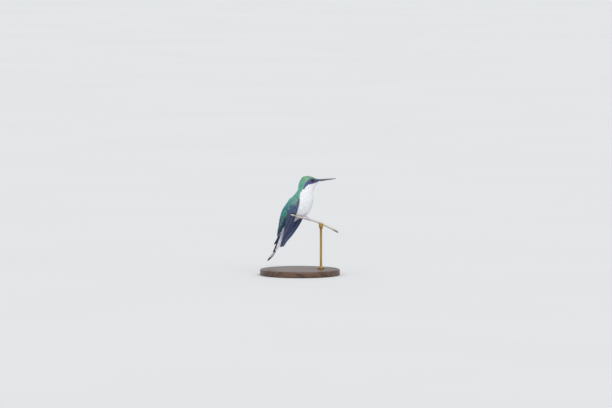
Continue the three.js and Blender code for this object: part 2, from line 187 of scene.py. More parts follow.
def body_frame(cut, angle):
    """Per point: rearwards along the body in mm a cut, the way round to the left, and outwards."""
    step = 0.02
    rear = (body_point(cut + step, angle) - body_point(cut - step, angle)) / (2 * step)
    rear = np.where(np.asarray(cut)[..., None] < step, rear * 2, rear)
    round_ = unit(body_point(cut, angle + step) - body_point(cut, angle - step))
    out = unit(np.cross(rear, round_))
    middle = (body_point(cut, angle) + body_point(cut, angle + math.pi)) / 2
    return rear, round_, out * np.sign(dot(out, body_point(cut, angle) - middle))


def surface_places(targets, first, last):
    """The cuts and angles of the body surface points nearest to some targets, between two cuts."""
    places = np.linspace(first, last, 241), np.linspace(-math.pi, math.pi, 361)
    cut, angle = np.meshgrid(*places, indexing="ij")
    surface = body_point(cut, angle).reshape(-1, 3)
    nearest = [int(np.argmin(((surface - target) ** 2).sum(axis=-1))) for target in targets]
    return cut.ravel()[nearest], angle.ravel()[nearest]


# ---- markings, one rule for skin and coat ----------------------------------------------------

CROWN = linear((108, 156, 122))
NAPE = linear((94, 162, 144))
BACK = linear((52, 130, 136))
EMERALD = linear((34, 144, 116))
RUMP = linear((38, 70, 84))
STREAK = linear((118, 146, 146))
MASK = linear((71, 79, 117))
VIOLET_SHEEN = linear((97, 91, 156))
WHITE = linear((240, 241, 244))
# painted shade: the white a little greyer and bluer where the belly faces away from the light
BELLY_SHADE = linear((226, 229, 237))
NAVY = linear((60, 70, 104))
COVERT = linear((110, 146, 132))

ALL_ROUND = (-2, -1)
# over the crown's green: colour, the cuts and the degrees from the back over which it comes in, share
GREENS = (
    (NAPE, (3.4, 5.2), ALL_ROUND, 1),
    (BACK, (7.0, 9.4), (80, 45), 1),
    (COVERT, (6.4, 7.6), (45, 70), 0.7),
    (EMERALD, (9.4, 10.5), (44, 66), 0.75),
    (RUMP, (10.8, 12.4), ALL_ROUND, 1),
)
STREAK_ANGLE = 63
MASK_END = 5.15  # the mask's last cut
# cut, and the angles from the back in degrees at which the green ends and the mask ends
MASK_EDGES = np.array([
    (0.0, 20, 124), (0.9, 38, 115), (1.75, 47, 107), (2.2, 46, 104),
    (2.9, 60, 98), (3.9, 69, 88), (4.75, 70, 81), (5.3, 75, 75),
])
# cut, and the angle at which the green ends and the white begins behind the mask
GREEN_EDGE = np.array([
    (5.0, 74), (5.65, 63), (6.0, 56), (6.4, 66), (7.0, 84), (7.6, 92), (8.5, 101),
    (9.8, 112), (11.0, 117), (13.0, 118), (15.0, 122), (17.0, 130),
])


def markings(cut, angle):
    """The plumage's colour, and how iridescent it is, at each cut and angle."""
    degrees = np.degrees(np.abs(angle))
    layers = [
        (colour, smooth(*cuts, cut) * smooth(*angles, degrees) * share)
        for colour, cuts, angles, share in GREENS
    ]
    off_streak = np.abs(degrees - STREAK_ANGLE)
    streak = smooth(11.0, 12.2, cut) * smooth(15.2, 13.4, cut) * smooth(13, 3, off_streak)
    flecks = smooth(7.6, 9.0, cut) * smooth(0.25, 0.85, np.sin(degrees * 0.31 + cut * 1.3))
    green = blend(CROWN, *layers, (STREAK, streak * 0.6), (RUMP, flecks * 0.55))
    # Painted shade: the white greys towards the belly, which faces down, away from the light.
    white = blend(WHITE, (BELLY_SHADE, smooth(9.0, 13.0, cut) * 0.8))
    # Painted sheen: bands of violet glints over the mask's dark blue.
    glints = smooth(0.8, 2.4, cut) * smooth(0.55, 0.2, np.abs(np.sin(cut * 2.3)))
    mask = blend(MASK, (VIOLET_SHEEN, 0.55 * glints))
    edge = np.interp(cut, GREEN_EDGE[:, 0], GREEN_EDGE[:, 1])
    top, bottom = (np.interp(cut, MASK_EDGES[:, 0], MASK_EDGES[:, k]) for k in (1, 2))
    below = smooth(bottom - 1, bottom + 1, degrees)
    is_white = np.where(cut < MASK_END, below, smooth(edge - 2, edge + 2, degrees))
    is_mask = smooth(MASK_END + 0.2, MASK_END, cut) * smooth(top - 2, top + 2, degrees) * (1 - below)
    return blend(green, (white, is_white), (mask, is_mask)), 1 - is_white


# ---- meshes ----------------------------------------------------------------------------------


def new_piece(name, points, faces, material, uvs=None, colours=None, sharp=80):
    """A mesh object from points in mm. uvs is {name: one pair per point}; colours one RGBA per point."""
    mesh = bpy.data.meshes.new(name)
    faces = np.asarray(faces, np.int32)
    mesh.vertices.add(len(points))
    mesh.vertices.foreach_set("co", (np.asarray(points, np.float32) * MM).ravel())
    mesh.loops.add(faces.size)
    mesh.loops.foreach_set("vertex_index", faces.ravel())
    mesh.polygons.add(len(faces))
    mesh.polygons.foreach_set("loop_start", np.arange(len(faces), dtype=np.int32) * faces.shape[1])
    mesh.update(calc_edges=True)
    for uv_name, pairs in (uvs or {}).items():
        layer = mesh.uv_layers.new(name=uv_name)
        layer.uv.foreach_set("vector", np.asarray(pairs, np.float32)[faces.ravel()].ravel())
    if colours is not None:
        attribute = mesh.color_attributes.new("tint", "FLOAT_COLOR", "POINT")
        attribute.data.foreach_set("color", np.asarray(colours, np.float32).ravel())
    if "OFBake" in mesh.uv_layers:
        mesh.uv_layers["OFBake"].active_render = True
    mesh.materials.append(material)
    mesh.polygons.foreach_set("use_smooth", np.ones(len(faces), bool))
    mesh.set_sharp_from_angle(angle=math.radians(sharp))
    piece = bpy.data.objects.new(name, mesh)
    bpy.context.scene.collection.objects.link(piece)
    return piece


def grid_quads(grid):
    """Quads over a grid of point numbers."""
    corners = (grid[:-1, :-1], grid[:-1, 1:], grid[1:, 1:], grid[1:, :-1])
    return np.stack(corners, axis=-1).reshape(-1, 4)


def halves(quads):
    return np.vstack([quads[:, [0, 1, 2]], quads[:, [0, 2, 3]]])


def facing_out(points, triangles):
    """The triangles of a closed mesh, turned to face outwards."""
    corners = points[triangles]
    volume = np.einsum("ij,ij->i", corners[:, 0], np.cross(corners[:, 1], corners[:, 2])).sum()
    return triangles[:, ::-1] if volume < 0 else triangles


def closed(rings):
    """Points and triangles of a closed mesh over rings [ring, side, xyz], with a fan over each end."""
    count, sides = rings.shape[:2]
    points = np.vstack([rings.reshape(-1, 3), rings[0].mean(0), rings[-1].mean(0)])
    grid = np.pad(np.arange(count * sides).reshape(count, sides), ((0, 0), (0, 1)), mode="wrap")
    hub = np.full(sides, count * sides)
    start_fan = np.stack([hub, grid[0, 1:], grid[0, :-1]], axis=-1)
    end_fan = np.stack([hub + 1, grid[-1, :-1], grid[-1, 1:]], axis=-1)
    return points, facing_out(points, np.vstack([halves(grid_quads(grid)), start_fan, end_fan]))


def joined(shells):
    """One mesh's points and triangles from several closed shells of rings."""
    points, faces, start = [], [], 0
    for rings in shells:
        shell, triangles = closed(rings)
        points.append(shell)
        faces.append(triangles + start)
        start += len(shell)
    return np.vstack(points), np.vstack(faces)


def skin_over(name, rings, material, **extra):
    """A closed piece over rings."""
    return new_piece(name, *closed(rings), material, **extra)


def tube(points, radii, sides, reference):
    """Rings of a round tube along points, given a direction that is never along the tube."""
    points = np.asarray(points, float)
    tangent = unit(np.gradient(points, axis=0))
    first = unit(reference - dot(reference, tangent) * tangent)
    radii = np.asarray(radii, float)
    radii = np.broadcast_to(radii[:, None] if radii.ndim == 1 else radii, (len(points), sides))
    spoke = spokes(first[:, None], np.cross(tangent, first)[:, None], circle(sides))
    return points[:, None] + spoke * radii[..., None]


def round_ends(rings, bulge):
    """The same rings with a rounded cap of three smaller rings at the far end."""
    tip = rings[-1].mean(0)
    ahead = unit(tip - rings[-2].mean(0))
    caps = []
    for share in (0.45, 0.8, 0.96):
        caps.append(tip + (rings[-1] - tip) * math.sqrt(1 - share**2) + ahead * bulge * share)
    return np.concatenate([rings, caps])


def carve(piece, other, operation):
    """Joins another closed mesh to a piece or cuts it away, and removes the other."""
    modifier = piece.modifiers.new("carve", "BOOLEAN")
    modifier.object = other
    modifier.operation = operation
    modifier.solver = "EXACT"
    modifier.use_self = True
    bpy.context.view_layer.update()
    made = bpy.data.meshes.new_from_object(piece.evaluated_get(bpy.context.evaluated_depsgraph_get()))
    piece.modifiers.clear()
    piece.data = made
    bpy.data.objects.remove(other)


def tinted_near(piece, points, colour, reach):
    """Paints a piece's tint in one colour wherever it lies within reach of a set of points."""
    tree = KDTree(len(points))
    for index, point in enumerate(points):
        tree.insert(point * MM, index)
    tree.balance()
    tint = piece.data.color_attributes["tint"].data
    for vertex in piece.data.vertices:
        if tree.find(vertex.co)[2] < reach * MM:
            tint[vertex.index].color = colour


# ---- feathers --------------------------------------------------------------------------------


class Vanes:
    """Many thin closed feathers in one mesh. Each is a grid of rows by columns, doubled below."""

    def __init__(self, rows, columns):
        self.along = np.linspace(0, 1, rows)
        even = np.linspace(-1, 1, columns)
        self.across = np.sign(even) * np.abs(even) ** 0.85
        index = np.arange(rows * columns).reshape(rows, columns)
        inner = np.zeros_like(index, bool)
        inner[1:-1, 1:-1] = True
        self.inner = inner.ravel()
        self.size = rows * columns + int(inner.sum())
        lower = index.copy()
        lower[inner] = np.arange(rows * columns, self.size)
        self.faces = np.vstack([grid_quads(index), grid_quads(lower)[:, ::-1]])
        self.points, self.colours, self.bake = [], [], []
        column, row = np.meshgrid((self.across + 1) / 2, self.along)
        grid = np.stack([column, row], axis=-1).reshape(-1, 2)
        self.grid = np.concatenate([grid, grid[self.inner]])

    def add_sheets(self, points, outward, thickness, colours, patches, under=1.0):
        """Feathers whose every point is given: points and outward [feather, row, column, xyz],
        colours [feather, row, column, rgba], patches [feather, (u0, v0, u1, v1)] on the bake map.
        under is how much lighter their undersides are: partly their own paler colour, partly painted light
        on the shade that falls on them."""
        count = len(points)
        swell = (1 - self.across**2)[None, :] * np.minimum(1, 4 * (1 - self.along))[:, None]
        lift = outward * (thickness * swell)[None, :, :, None]
        upper = (points + lift).reshape(count, -1, 3)
        lower = (points - lift).reshape(count, -1, 3)[:, self.inner]
        self.points.append(np.concatenate([upper, lower], axis=1))
        flat = np.broadcast_to(colours, points.shape[:3] + (4,)).reshape(count, -1, 4)
        # The undersides made lighter by under: partly their paler colour, partly painted light that lifts
        # their shade.
        underside_with_painted_light = np.minimum(flat[:, self.inner] * (under, under, under**0.85, 1), 1)
        self.colours.append(np.concatenate([flat, underside_with_painted_light], axis=1))
        low, high = patches[:, None, :2], patches[:, None, 2:]
        self.bake.append(low + (high - low) * self.grid[None])

    def add(self, centres, sideways, outward, half_width, thickness, colours, patches, camber, ragged):
        """Feathers by their shafts: centres, sideways and outward [feather, row, xyz], half_width
        [feather], colours [feather, row, rgba], where one row may stand for all but the centres'.
        camber lowers the edges, ragged tears the tip."""
        x = self.across[None, None, :, None]
        width = (half_width[:, None] * vane_outline(self.along)[None, :])[:, :, None, None]
        centre, side, out = (v[:, :, None, :] for v in (centres, sideways, outward))
        points = centre + side * width * x - out * camber * width * x**2
        tear = rng.uniform(-ragged, ragged, (len(centres), len(self.along), len(self.across)))
        tear *= smooth(0.5, 0.95, self.along)[None, :, None]
        points = points + np.gradient(centres, axis=1)[:, :, None, :] * tear[..., None]
        out = np.broadcast_to(out, points.shape)
        self.add_sheets(points, out, thickness, colours[:, :, None, :], patches)

    def piece(self, name, material):
        """The feathers as one piece, each with its faces turned outwards."""
        points = np.concatenate(self.points)
        count = len(points)
        corners = (points - points.mean(axis=1, keepdims=True))[:, self.faces]
        fans = (np.cross(corners[:, :, k], corners[:, :, k + 1]) for k in (1, 2))
        volume = sum(np.einsum("fqi,fqi->f", corners[:, :, 0], fan) for fan in fans)
        faces = self.faces[None] + (np.arange(count) * self.size)[:, None, None]
        faces = np.where((volume < 0)[:, None, None], faces[..., ::-1], faces).reshape(-1, 4)
        vane = np.broadcast_to(self.grid, (count, self.size, 2)).reshape(-1, 2)
        return new_piece(
            name, points.reshape(-1, 3), faces, material,
            uvs={"OFBake": np.concatenate(self.bake).reshape(-1, 2), "vane": vane},
            colours=np.concatenate(self.colours).reshape(-1, 4),
        )


def vane_outline(along):
    """A feather's half width along its length, as a share of its largest: narrow root, round tip."""
    rising = 0.35 + 0.65 * np.sin(np.clip(along / 0.5, 0, 1) * math.pi / 2)
    falling = np.sqrt(np.clip(1 - np.clip((along - 0.5) / 0.51, 0, 1) ** 2.4, 0, 1))
    return np.where(along < 0.5, rising, falling)


def root_shade(along, root=0.6):
    """How light a feather is along its length: darker at the covered root."""
    return mix(root, 1, smooth(0.1, 0.6, along))


def square(u, v, size=0.003):
    """A small square on the bake map."""
    return np.stack([u - size / 2, v - size / 2, u + size / 2, v + size / 2], axis=-1)


def strip(index, count):
    """One of as many upright strips of the bake map, for a large feather."""
    return np.array([[(index + 0.05) / count, 0.02, (index + 0.95) / count, 0.98]])


def body_patch(cut, angle):
    """The square at a root's place on the unwrapped skin: round the body across, along it upwards."""
    return square(0.5 + 0.48 * angle / math.pi, 0.02 + 0.95 * cut / (LAST_CUT + 2))


# ---- materials -------------------------------------------------------------------------------


class Finish:
    """A Principled material, with its nodes added one call at a time."""

    def __init__(self, name, **constants):
        self.material = bpy.data.materials.new(name)
        self.material.use_nodes = True
        self.tree = self.material.node_tree
        self.shader = self.tree.nodes["Principled BSDF"]
        self.set(**constants)

    def set(self, **sockets):
        """Feeds the shader's sockets, named with _ for a space, and gives back the material."""
        for socket, value in sockets.items():
            self.feed(self.shader.inputs[socket.replace("_", " ")], value)
        return self.material

    def feed(self, socket, value):
        if isinstance(value, bpy.types.NodeSocket):
            self.tree.links.new(value, socket)
        else:
            socket.default_value = value

    def node(self, kind, inputs=None, **settings):
        made = self.tree.nodes.new("ShaderNode" + kind)
        for key, value in settings.items():
            setattr(made, key, value)
        for key, value in (inputs or {}).items():
            self.feed(made.inputs[key], value)
        return made

    def tint(self):
        """The mesh's own colour and alpha."""
        attribute = self.node("Attribute", attribute_name="tint")
        return attribute.outputs["Color"], attribute.outputs["Alpha"]

    def math(self, operation, a, b=0.0):
        return self.node("Math", {0: a, 1: b}, operation=operation).outputs[0]

    def times(self, a, b):
        return self.math("MULTIPLY", a, b)

    def mapped(self, value, low, high, start=0.0, end=1.0):
        """A value from start to end, stretched to run from low to high."""
        ends = {"From Min": start, "From Max": end, "To Min": low, "To Max": high}
        return self.node("MapRange", {"Value": value, **ends}).outputs[0]

    def shaded(self, colour, factor):
        """A colour made lighter or darker by a factor."""
        return self.node("VectorMath", {0: colour, "Scale": factor}, operation="SCALE").outputs[0]

    def mixed(self, a, b, share):
        return self.node("Mix", {0: share, 6: a, 7: b}, data_type="RGBA").outputs[2]

    def noise(self, scale, detail=3.0, stretch=None, distortion=0.0):
        place = self.node("TexCoord").outputs["Object"]
        if stretch:
            place = self.node("VectorMath", {0: place, 1: stretch}, operation="MULTIPLY").outputs[0]
        inputs = {"Vector": place, "Scale": scale, "Detail": detail, "Distortion": distortion}
        return self.node("TexNoise", inputs).outputs["Fac"]

    def bump(self, height, strength, depth):
        """A normal for bumps as deep in mm."""
        return self.node("Bump", {"Height": height, "Strength": strength, "Distance": depth * MM}).outputs[0]


def plumage(name, barbs, rough, rough_gloss, shaft, downy=0.0):
    """Feathers: the vertex tint, with its alpha as the share of metallic gloss, over fine barbs that
    run out and forward from the shaft. downy is how much light passes through the vanes."""
    finish = Finish(name, Sheen_Weight=0.12, Sheen_Roughness=0.4, Specular_IOR_Level=0.35,
                    Subsurface_Weight=downy, Subsurface_Radius=(1, 1, 1), Subsurface_Scale=0.5 * MM)
    tint, gloss = finish.tint()
    vane = finish.node("SeparateXYZ", {0: finish.node("UVMap", uv_map="vane").outputs[0]})
    off_shaft = finish.math("ABSOLUTE", finish.math("SUBTRACT", vane.outputs[0], 0.5))
    slant = finish.math("SUBTRACT", vane.outputs[1], finish.times(off_shaft, 0.45))
    barb = finish.math("SINE", finish.times(slant, barbs * 2 * math.pi))
    barb = finish.mapped(barb, 0, 1, -1.0, 1.0)
    on_shaft = finish.math("LESS_THAN", off_shaft, 0.03)
    light = finish.times(finish.mapped(finish.noise(420, 2), 0.82, 1.16), finish.mapped(barb, 0.9, 1.06))
    light = finish.times(light, finish.mapped(on_shaft, 1.0, shaft))
    return finish.set(
        Base_Color=finish.shaded(tint, light),
        Metallic=finish.times(gloss, 0.45),
        Roughness=finish.mapped(gloss, rough, rough_gloss),
        Normal=finish.bump(finish.math("ADD", barb, on_shaft), 0.35, 0.05),
    )


def bare_skin():
    """Thin skin with down under the feathers, and small scales on the feet, where the alpha is one."""
    finish = Finish("skin", Subsurface_Weight=0.1, Subsurface_Scale=0.3 * MM)
    tint, on_foot = finish.tint()
    return finish.set(
        Base_Color=finish.shaded(tint, finish.mapped(finish.noise(1500, 4), 0.75, 1.2)),
        Roughness=finish.mapped(on_foot, 0.85, 0.5),
        Normal=finish.bump(finish.noise(2600, 3), 0.4, 0.08),
    )


def horn(name, colour, pale, rough):
    """Bill and claws: dark keratin, a little paler in streaks along its length."""
    finish = Finish(name, Coat_Weight=0.8, Coat_Roughness=0.22, Specular_IOR_Level=0.6)
    streaks = finish.noise(700, 4, stretch=(0.15, 1, 1))
    return finish.set(
        Base_Color=finish.mixed(paint(colour), paint(pale), streaks),
        Roughness=finish.mapped(streaks, rough, rough + 0.18),
        Normal=finish.bump(finish.noise(1800, 3, stretch=(0.2, 1, 1)), 0.2, 0.04),
    )


def lid_skin():
    """Small dark beads of bare skin."""
    finish = Finish("lid_skin", Specular_IOR_Level=0.45)
    grain = finish.noise(3000, 3)
    return finish.set(
        Base_Color=finish.shaded(finish.tint()[0], finish.mapped(grain, 0.8, 1.2)),
        Roughness=finish.mapped(grain, 0.45, 0.65),
        Normal=finish.bump(grain, 0.3, 0.03),
    )


def eye_surface():
    """The eyeball: tinted black and brown under a wet, clear surface."""
    finish = Finish("eye", Roughness=0.06, Coat_Weight=0.25, Coat_Roughness=0.02, Specular_IOR_Level=0.25)
    return finish.set(
        Base_Color=finish.shaded(finish.tint()[0], finish.mapped(finish.noise(3500, 3), 0.8, 1.2)),
        Normal=finish.bump(finish.noise(400, 2), 0.02, 0.02),
    )


def bark():
    """Pale weathered bark with dark flecks, browner in patches, with fine furrows along it; the tint's
    alpha marks the cut end's bare wood."""
    finish = Finish("twig_bark", Specular_IOR_Level=0.25)
    patches = finish.noise(130, 4, stretch=(0.55, 1, 1), distortion=0.6)
    patches = finish.mapped(patches, 0, 1, 0.53, 0.62)
    flecks = finish.mapped(finish.noise(1500, 3, stretch=(0.45, 1, 1)), 0, 1, 0.56, 0.68)
    furrows = finish.noise(3400, 5, stretch=(0.16, 1, 1))
    colour = finish.mixed(paint((190, 183, 172)), paint((112, 88, 78)), patches)
    colour = finish.mixed(colour, paint((104, 86, 76)), finish.times(flecks, 0.75))
    colour = finish.mixed(colour, *finish.tint())
    height = finish.math("SUBTRACT", furrows, finish.times(flecks, 0.4))
    return finish.set(
        Base_Color=finish.shaded(colour, finish.mapped(furrows, 0.62, 1.3)),
        Roughness=finish.mapped(furrows, 0.95, 0.7),
        Normal=finish.bump(height, 0.8, 0.18),
    )


def walnut():
    """Dark oiled wood with long grain and small pores."""
    finish = Finish("stand_wood", Coat_Weight=0.15, Coat_Roughness=0.35, Specular_IOR_Level=0.4)
    rings = finish.noise(38, 5, stretch=(0.18, 1, 1), distortion=1.2)
    bands = finish.mapped(finish.math("SINE", finish.times(rings, 42.0)), 0, 1, -1.0, 1.0)
    pores = finish.noise(900, 3, stretch=(0.06, 1, 1))
    colour = finish.mixed(paint((92, 66, 50)), paint((62, 42, 32)), bands)
    return finish.set(
        Base_Color=finish.shaded(colour, finish.mapped(pores, 0.75, 1.2)),
        Roughness=finish.mapped(pores, 0.5, 0.34),
        Normal=finish.bump(finish.math("ADD", pores, finish.times(bands, 0.3)), 0.15, 0.1),
    )


def brushed_brass():
    """Satin brass with fine lines round the rod and a little darkening."""
    finish = Finish("stand_brass", Metallic=1.0)
    lines = finish.noise(500, 3, stretch=(0.05, 0.05, 3))
    return finish.set(
        Base_Color=finish.mixed(paint((196, 160, 92)), paint((150, 112, 60)), finish.noise(60, 4)),
        Roughness=finish.mapped(lines, 0.24, 0.42),
        Normal=finish.bump(lines, 0.08, 0.03),
    )


def studio_floor():
    """Pale matt paper."""
    finish = Finish("floor", Specular_IOR_Level=0.2)
    speckle = finish.noise(3, 3)
    return finish.set(
        Base_Color=finish.mixed((0.60, 0.60, 0.595, 1), (0.57, 0.57, 0.57, 1), speckle),
        Roughness=finish.mapped(speckle, 0.8, 0.95),
    )


# ---- bill ------------------------------------------------------------------------------------

BILL_ROOT = np.array((18.75, 0, 94.65))
BILL_RISE = math.radians(6.5)
BILL_AHEAD = np.array((math.cos(BILL_RISE), 0, math.sin(BILL_RISE)))
BILL_UP = np.array((-math.sin(BILL_RISE), 0, math.cos(BILL_RISE)))
BILL_LENGTH = 17.0
BILL_DEPTH = 2.5
BILL_WIDTH = 2.5
BILL_SLIT = 0.12
BILL_TIP_SHARE = 0.2
BILL_SUNK = 1.6  # of the bill's root, hidden under the face feathers
CHIN = 260  # feathers over the bill's base


def mandible(name, upper, length, depth_share, material):
    """Half of the bill: upper is +1 or -1. The upper one has a keel along its ridge and nostril folds."""
    along = np.concatenate([np.linspace(-BILL_SUNK / length, 0, 5)[:-1], np.linspace(0, 1, 60)])
    size = BILL_TIP_SHARE + (1 - BILL_TIP_SHARE) * np.clip(1 - along, 0, 1) ** 0.9
    size = np.where(along < 0, 1 + along * 1.5, size)
    angle = np.linspace(0, math.pi, 24)
    arc = np.concatenate([angle, angle[-2:0:-1]])
    under = np.arange(len(arc)) >= len(angle)
    height = np.where(under, -0.02, np.sin(arc))
    keel = np.where(under, 0, 0.1 * bell(arc, math.pi / 2, 0.22)) if upper > 0 else 0
    up = depth_share * BILL_DEPTH * size[:, None] * (height + keel)[None, :] + BILL_SLIT / 4
    out = BILL_WIDTH / 2 * size[:, None] * np.cos(arc)[None, :]
    if upper > 0:
        off_middle = np.abs(np.cos(arc))
        fold = bell(along, 0.07, 0.07)[:, None] * (bell(off_middle, 0.8, 0.18) * ~under)[None, :]
        slit = bell(along, 0.1, 0.05)[:, None] * (bell(off_middle, 0.93, 0.04) * ~under)[None, :]
        out = out * (1 + 0.1 * fold) * (1 - 0.09 * slit)
    centre = BILL_ROOT + BILL_AHEAD * (0.3 + length * along[:, None])
    rings = centre[:, None] + BILL_UP * (upper * up)[..., None] + LEFT * out[..., None]
    return skin_over(name, round_ends(rings, 0.12), material, sharp=50)


def bill_feathers(vanes):
    """Small feathers over the bill's base: a white chin that runs forward below, and dark lores."""
    around = rng.uniform(-math.pi, math.pi, CHIN)  # from the ridge, + to the left
    upwards = np.cos(around)
    root = rng.uniform(-0.4, 1, CHIN) * mix(0.7, 1.9, smooth(-0.2, 0.75, -upwards))
    s = vanes.along[None, :]
    at = root[:, None] - s * rng.uniform(1.0, 1.4, CHIN)[:, None]
    height = np.where(upwards > 0, 0.55, 0.4) * BILL_DEPTH * 1.02
    spoke = LEFT * (BILL_WIDTH / 2 * np.sin(around))[:, None] + BILL_UP * (height * upwards)[:, None]
    size = (1 - 0.045 * at) * (1.04 + 0.2 * s**1.5)
    centres = BILL_ROOT + BILL_AHEAD * at[..., None] + spoke[:, None] * size[..., None]
    normal = unit(spoke)[:, None]
    white = smooth(0.45, 0.62, -upwards)
    tone = blend(MASK * 0.8, (WHITE, white)) * rng.normal(1, 0.08, CHIN)[:, None]
    rgba = with_alpha(tone, 0.3 * (1 - white))[:, None]
    half_width = np.full(CHIN, 0.27)
    patches = body_patch(0 * around + 0.05, around)
    vanes.add(centres, np.cross(BILL_AHEAD, normal), normal, half_width, 0.03, rgba, patches, 0.3, 0.1)


# ---- eyes ------------------------------------------------------------------------------------

PUPIL = linear((3, 3, 5))
IRIS = linear((30, 18, 13))
IRIS_EDGE = linear((9, 6, 7))
LID = linear((44, 42, 56))
EYE_AHEAD = 0.12  # how much further ahead than the cheek the eyes look
LID_DEPTH = 0.35  # of the lids' edge, under the plumage's surface
LID_THICKNESS = 0.15
LID_BEADS = 28
EYE_ROOM = 1.12  # feathers part round the lids at this many openings from the eye's middle
EYE_FLOW = 6  # how far from an eye the feathers still lie round it


class Eye:
    """Where an eyeball sits in the head: its ball from the CAD node, its axis from the face."""

    def __init__(self, node):
        low, high = (np.array(corner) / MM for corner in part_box(node))
        self.centre = (low + high) / 2
        self.radius = (high[2] - low[2]) / 2
        side = np.sign(self.centre[1])
        cut, angle = surface_places([self.centre + LEFT * (side * self.radius)], 0, 6)
        _, _, out = body_frame(cut, angle)
        self.axis = unit(out[0] + EYE_AHEAD * AHEAD)
        self.up = unit(UP - self.axis[2] * self.axis)
        self.front = np.cross(self.axis, self.up) * side
        surface = body_point(cut[0], angle[0], LID_DEPTH)
        self.opening = math.sqrt(max(0.6, self.radius**2 - float((surface - self.centre) @ self.axis) ** 2))
        self.middle = self.centre + self.axis * math.sqrt(self.radius**2 - self.opening**2)


def eyeball(eye, name, material):
    sides = 48
    polar = np.radians(np.linspace(2, 176, 44))
    radius = (eye.radius * (1 + 0.03 * bell(polar, 0, 0.5)))[:, None, None]
    spoke = spokes(eye.front, eye.up, circle(sides))
    rings = eye.centre + radius * spokes(eye.axis, spoke, polar[:, None])
    degrees = np.degrees(polar)
    tone = blend(PUPIL, (IRIS, smooth(21, 24, degrees)), (IRIS_EDGE, smooth(36, 44, degrees)))
    tone = np.repeat(tone, sides, axis=0)
    tone = np.vstack([tone, tone[0], tone[-1]])
    return skin_over(name, rings, material, colours=with_alpha(tone, 1))


def eyelids(eye, name, material):
    """A ring of small beads of bare skin round the opening, the upper lid a little lower and fuller."""
    sides, round_ = 120, 14
    around = circle(sides)
    bead = np.abs(np.sin(around * (LID_BEADS / 2)))
    upper = 0.5 + 0.5 * np.sin(around)
    polar = math.asin(min(0.95, eye.opening / eye.radius)) - 0.1 * upper
    spoke = spokes(eye.front, eye.up, around)
    ball = eye.axis * np.cos(polar)[:, None] + spoke * np.sin(polar)[:, None]
    thickness = (LID_THICKNESS * (1 + 0.16 * bead) * (1 + 0.25 * upper))[:, None, None]
    away = unit(np.cross(ball, np.cross(spoke, eye.axis)))
    rings = (eye.centre + ball * (eye.radius + 0.02))[:, None]
    rings = rings + thickness * spokes(ball[:, None], away[:, None] * 1.3, circle(round_))
    points = rings.reshape(-1, 3)
    grid = np.pad(np.arange(sides * round_).reshape(sides, round_), ((0, 1), (0, 1)), mode="wrap")
    triangles = facing_out(points, halves(grid_quads(grid)))
    tone = np.repeat(LID * (0.75 + 0.5 * bead)[:, None], round_, axis=0)
    return new_piece(name, points, triangles, material, colours=with_alpha(tone, 1))


def lid_feathers(vanes, eye):
    """Short feathers that start under the rear half of the lids and cover the skin behind them."""
    counts = (24, 24, 22)
    turn = np.radians(np.concatenate([np.linspace(-130, 130, count) for count in counts]))
    reach = np.repeat((0.95, 1.15, 1.35), counts) * eye.opening
    count = len(turn)
    spoke = spokes(-eye.front, eye.up, turn + rng.normal(0, 0.05, count))
    lie = unit(spoke * 0.6 - eye.front - eye.up * 0.3)
    root = eye.middle + spoke * reach[:, None]
    tip = root + lie * rng.uniform(0.75, 0.95, count)[:, None]
    cut, angle = surface_places(np.concatenate([root, tip]), 0.5, 5.5)
    tip_place = cut[count:], angle[count:]
    root, tip = body_point(cut[:count], angle[:count], 0.25), body_point(*tip_place, -0.08)
    _, _, out = body_frame(*tip_place)
    s = vanes.along[None, :, None]
    centres = mix(root[:, None], tip[:, None], s) + out[:, None] * 0.12 * np.sin(math.pi * s)
    side = unit(np.cross(tip - root, out))[:, None]
    normal = unit(np.cross(side, (tip - root)[:, None]))
    colour, gloss = markings(*tip_place)
    tone = colour[:, None] * root_shade(s) * rng.normal(1, 0.12, count)[:, None, None]
    patches = body_patch(cut[:count], angle[:count])
    rgba = with_alpha(tone, gloss[:, None])
    vanes.add(centres, side, normal, np.full(count, 0.26), 0.03, rgba, patches, 0.3, 0.1)


# ---- body feathers ---------------------------------------------------------------------------

# The glossy feathers above and the white ones below. Their pieces run from one cut to another. Then
# how close the rows stand before and behind the throat, how long and how wide each feather is for
# its row, and how it lies: tears at its tip, how far its edges drop, how unevenly it lies, how light
# its root is.
COATS = (
    {
        "regions": (("face", 0, 1.9), ("crown", 1.9, 4.7), ("nape", 4.7, 7.5), ("back", 7.5, 20)),
        "closeness": (1, 1), "length": 1, "width": 0.82, "white": False,
        "lie": {"ragged": 0.1, "camber": 0.3, "unrest": 1.0, "down": 0.55},
    },
    {
        "regions": (("chin", 0, 1.9), ("throat", 1.9, 5.4), ("breast", 5.4, 8.9), ("belly", 8.9, 20)),
        "closeness": (0.92, 0.76), "length": 1.2, "width": 0.62, "white": True,
        "lie": {"ragged": 0.16, "camber": 0.1, "unrest": 0.3, "down": 0.9},
    },
)


SHOWN_AT = 0.72  # of a feather's length: the place that decides which coat it belongs to


def skin_depth(cut):
    """How deep the skin lies under the tips of the feathers."""
    return np.interp(cut, (0, 1, 3, 5, 7.5, 13, 15), (0.25, 0.4, 0.55, 0.8, 1.2, 1.2, 0.9))


def row_spacing(cut):
    """How far apart the rows of feathers are, in mm."""
    spacing = (0.3, 0.42, 0.52, 0.66, 0.8, 0.95, 1.15, 1.3, 1.4)
    return np.interp(cut, (0, 0.8, 2, 3.5, 5, 6.5, 8, 11, 15), spacing)


def row_overlap(cut):
    """How many rows each feather reaches over."""
    return np.interp(cut, (0, 2, 5, 9, 13, 15), (2.6, 2.9, 3.2, 3.6, 3.8, 4.4))


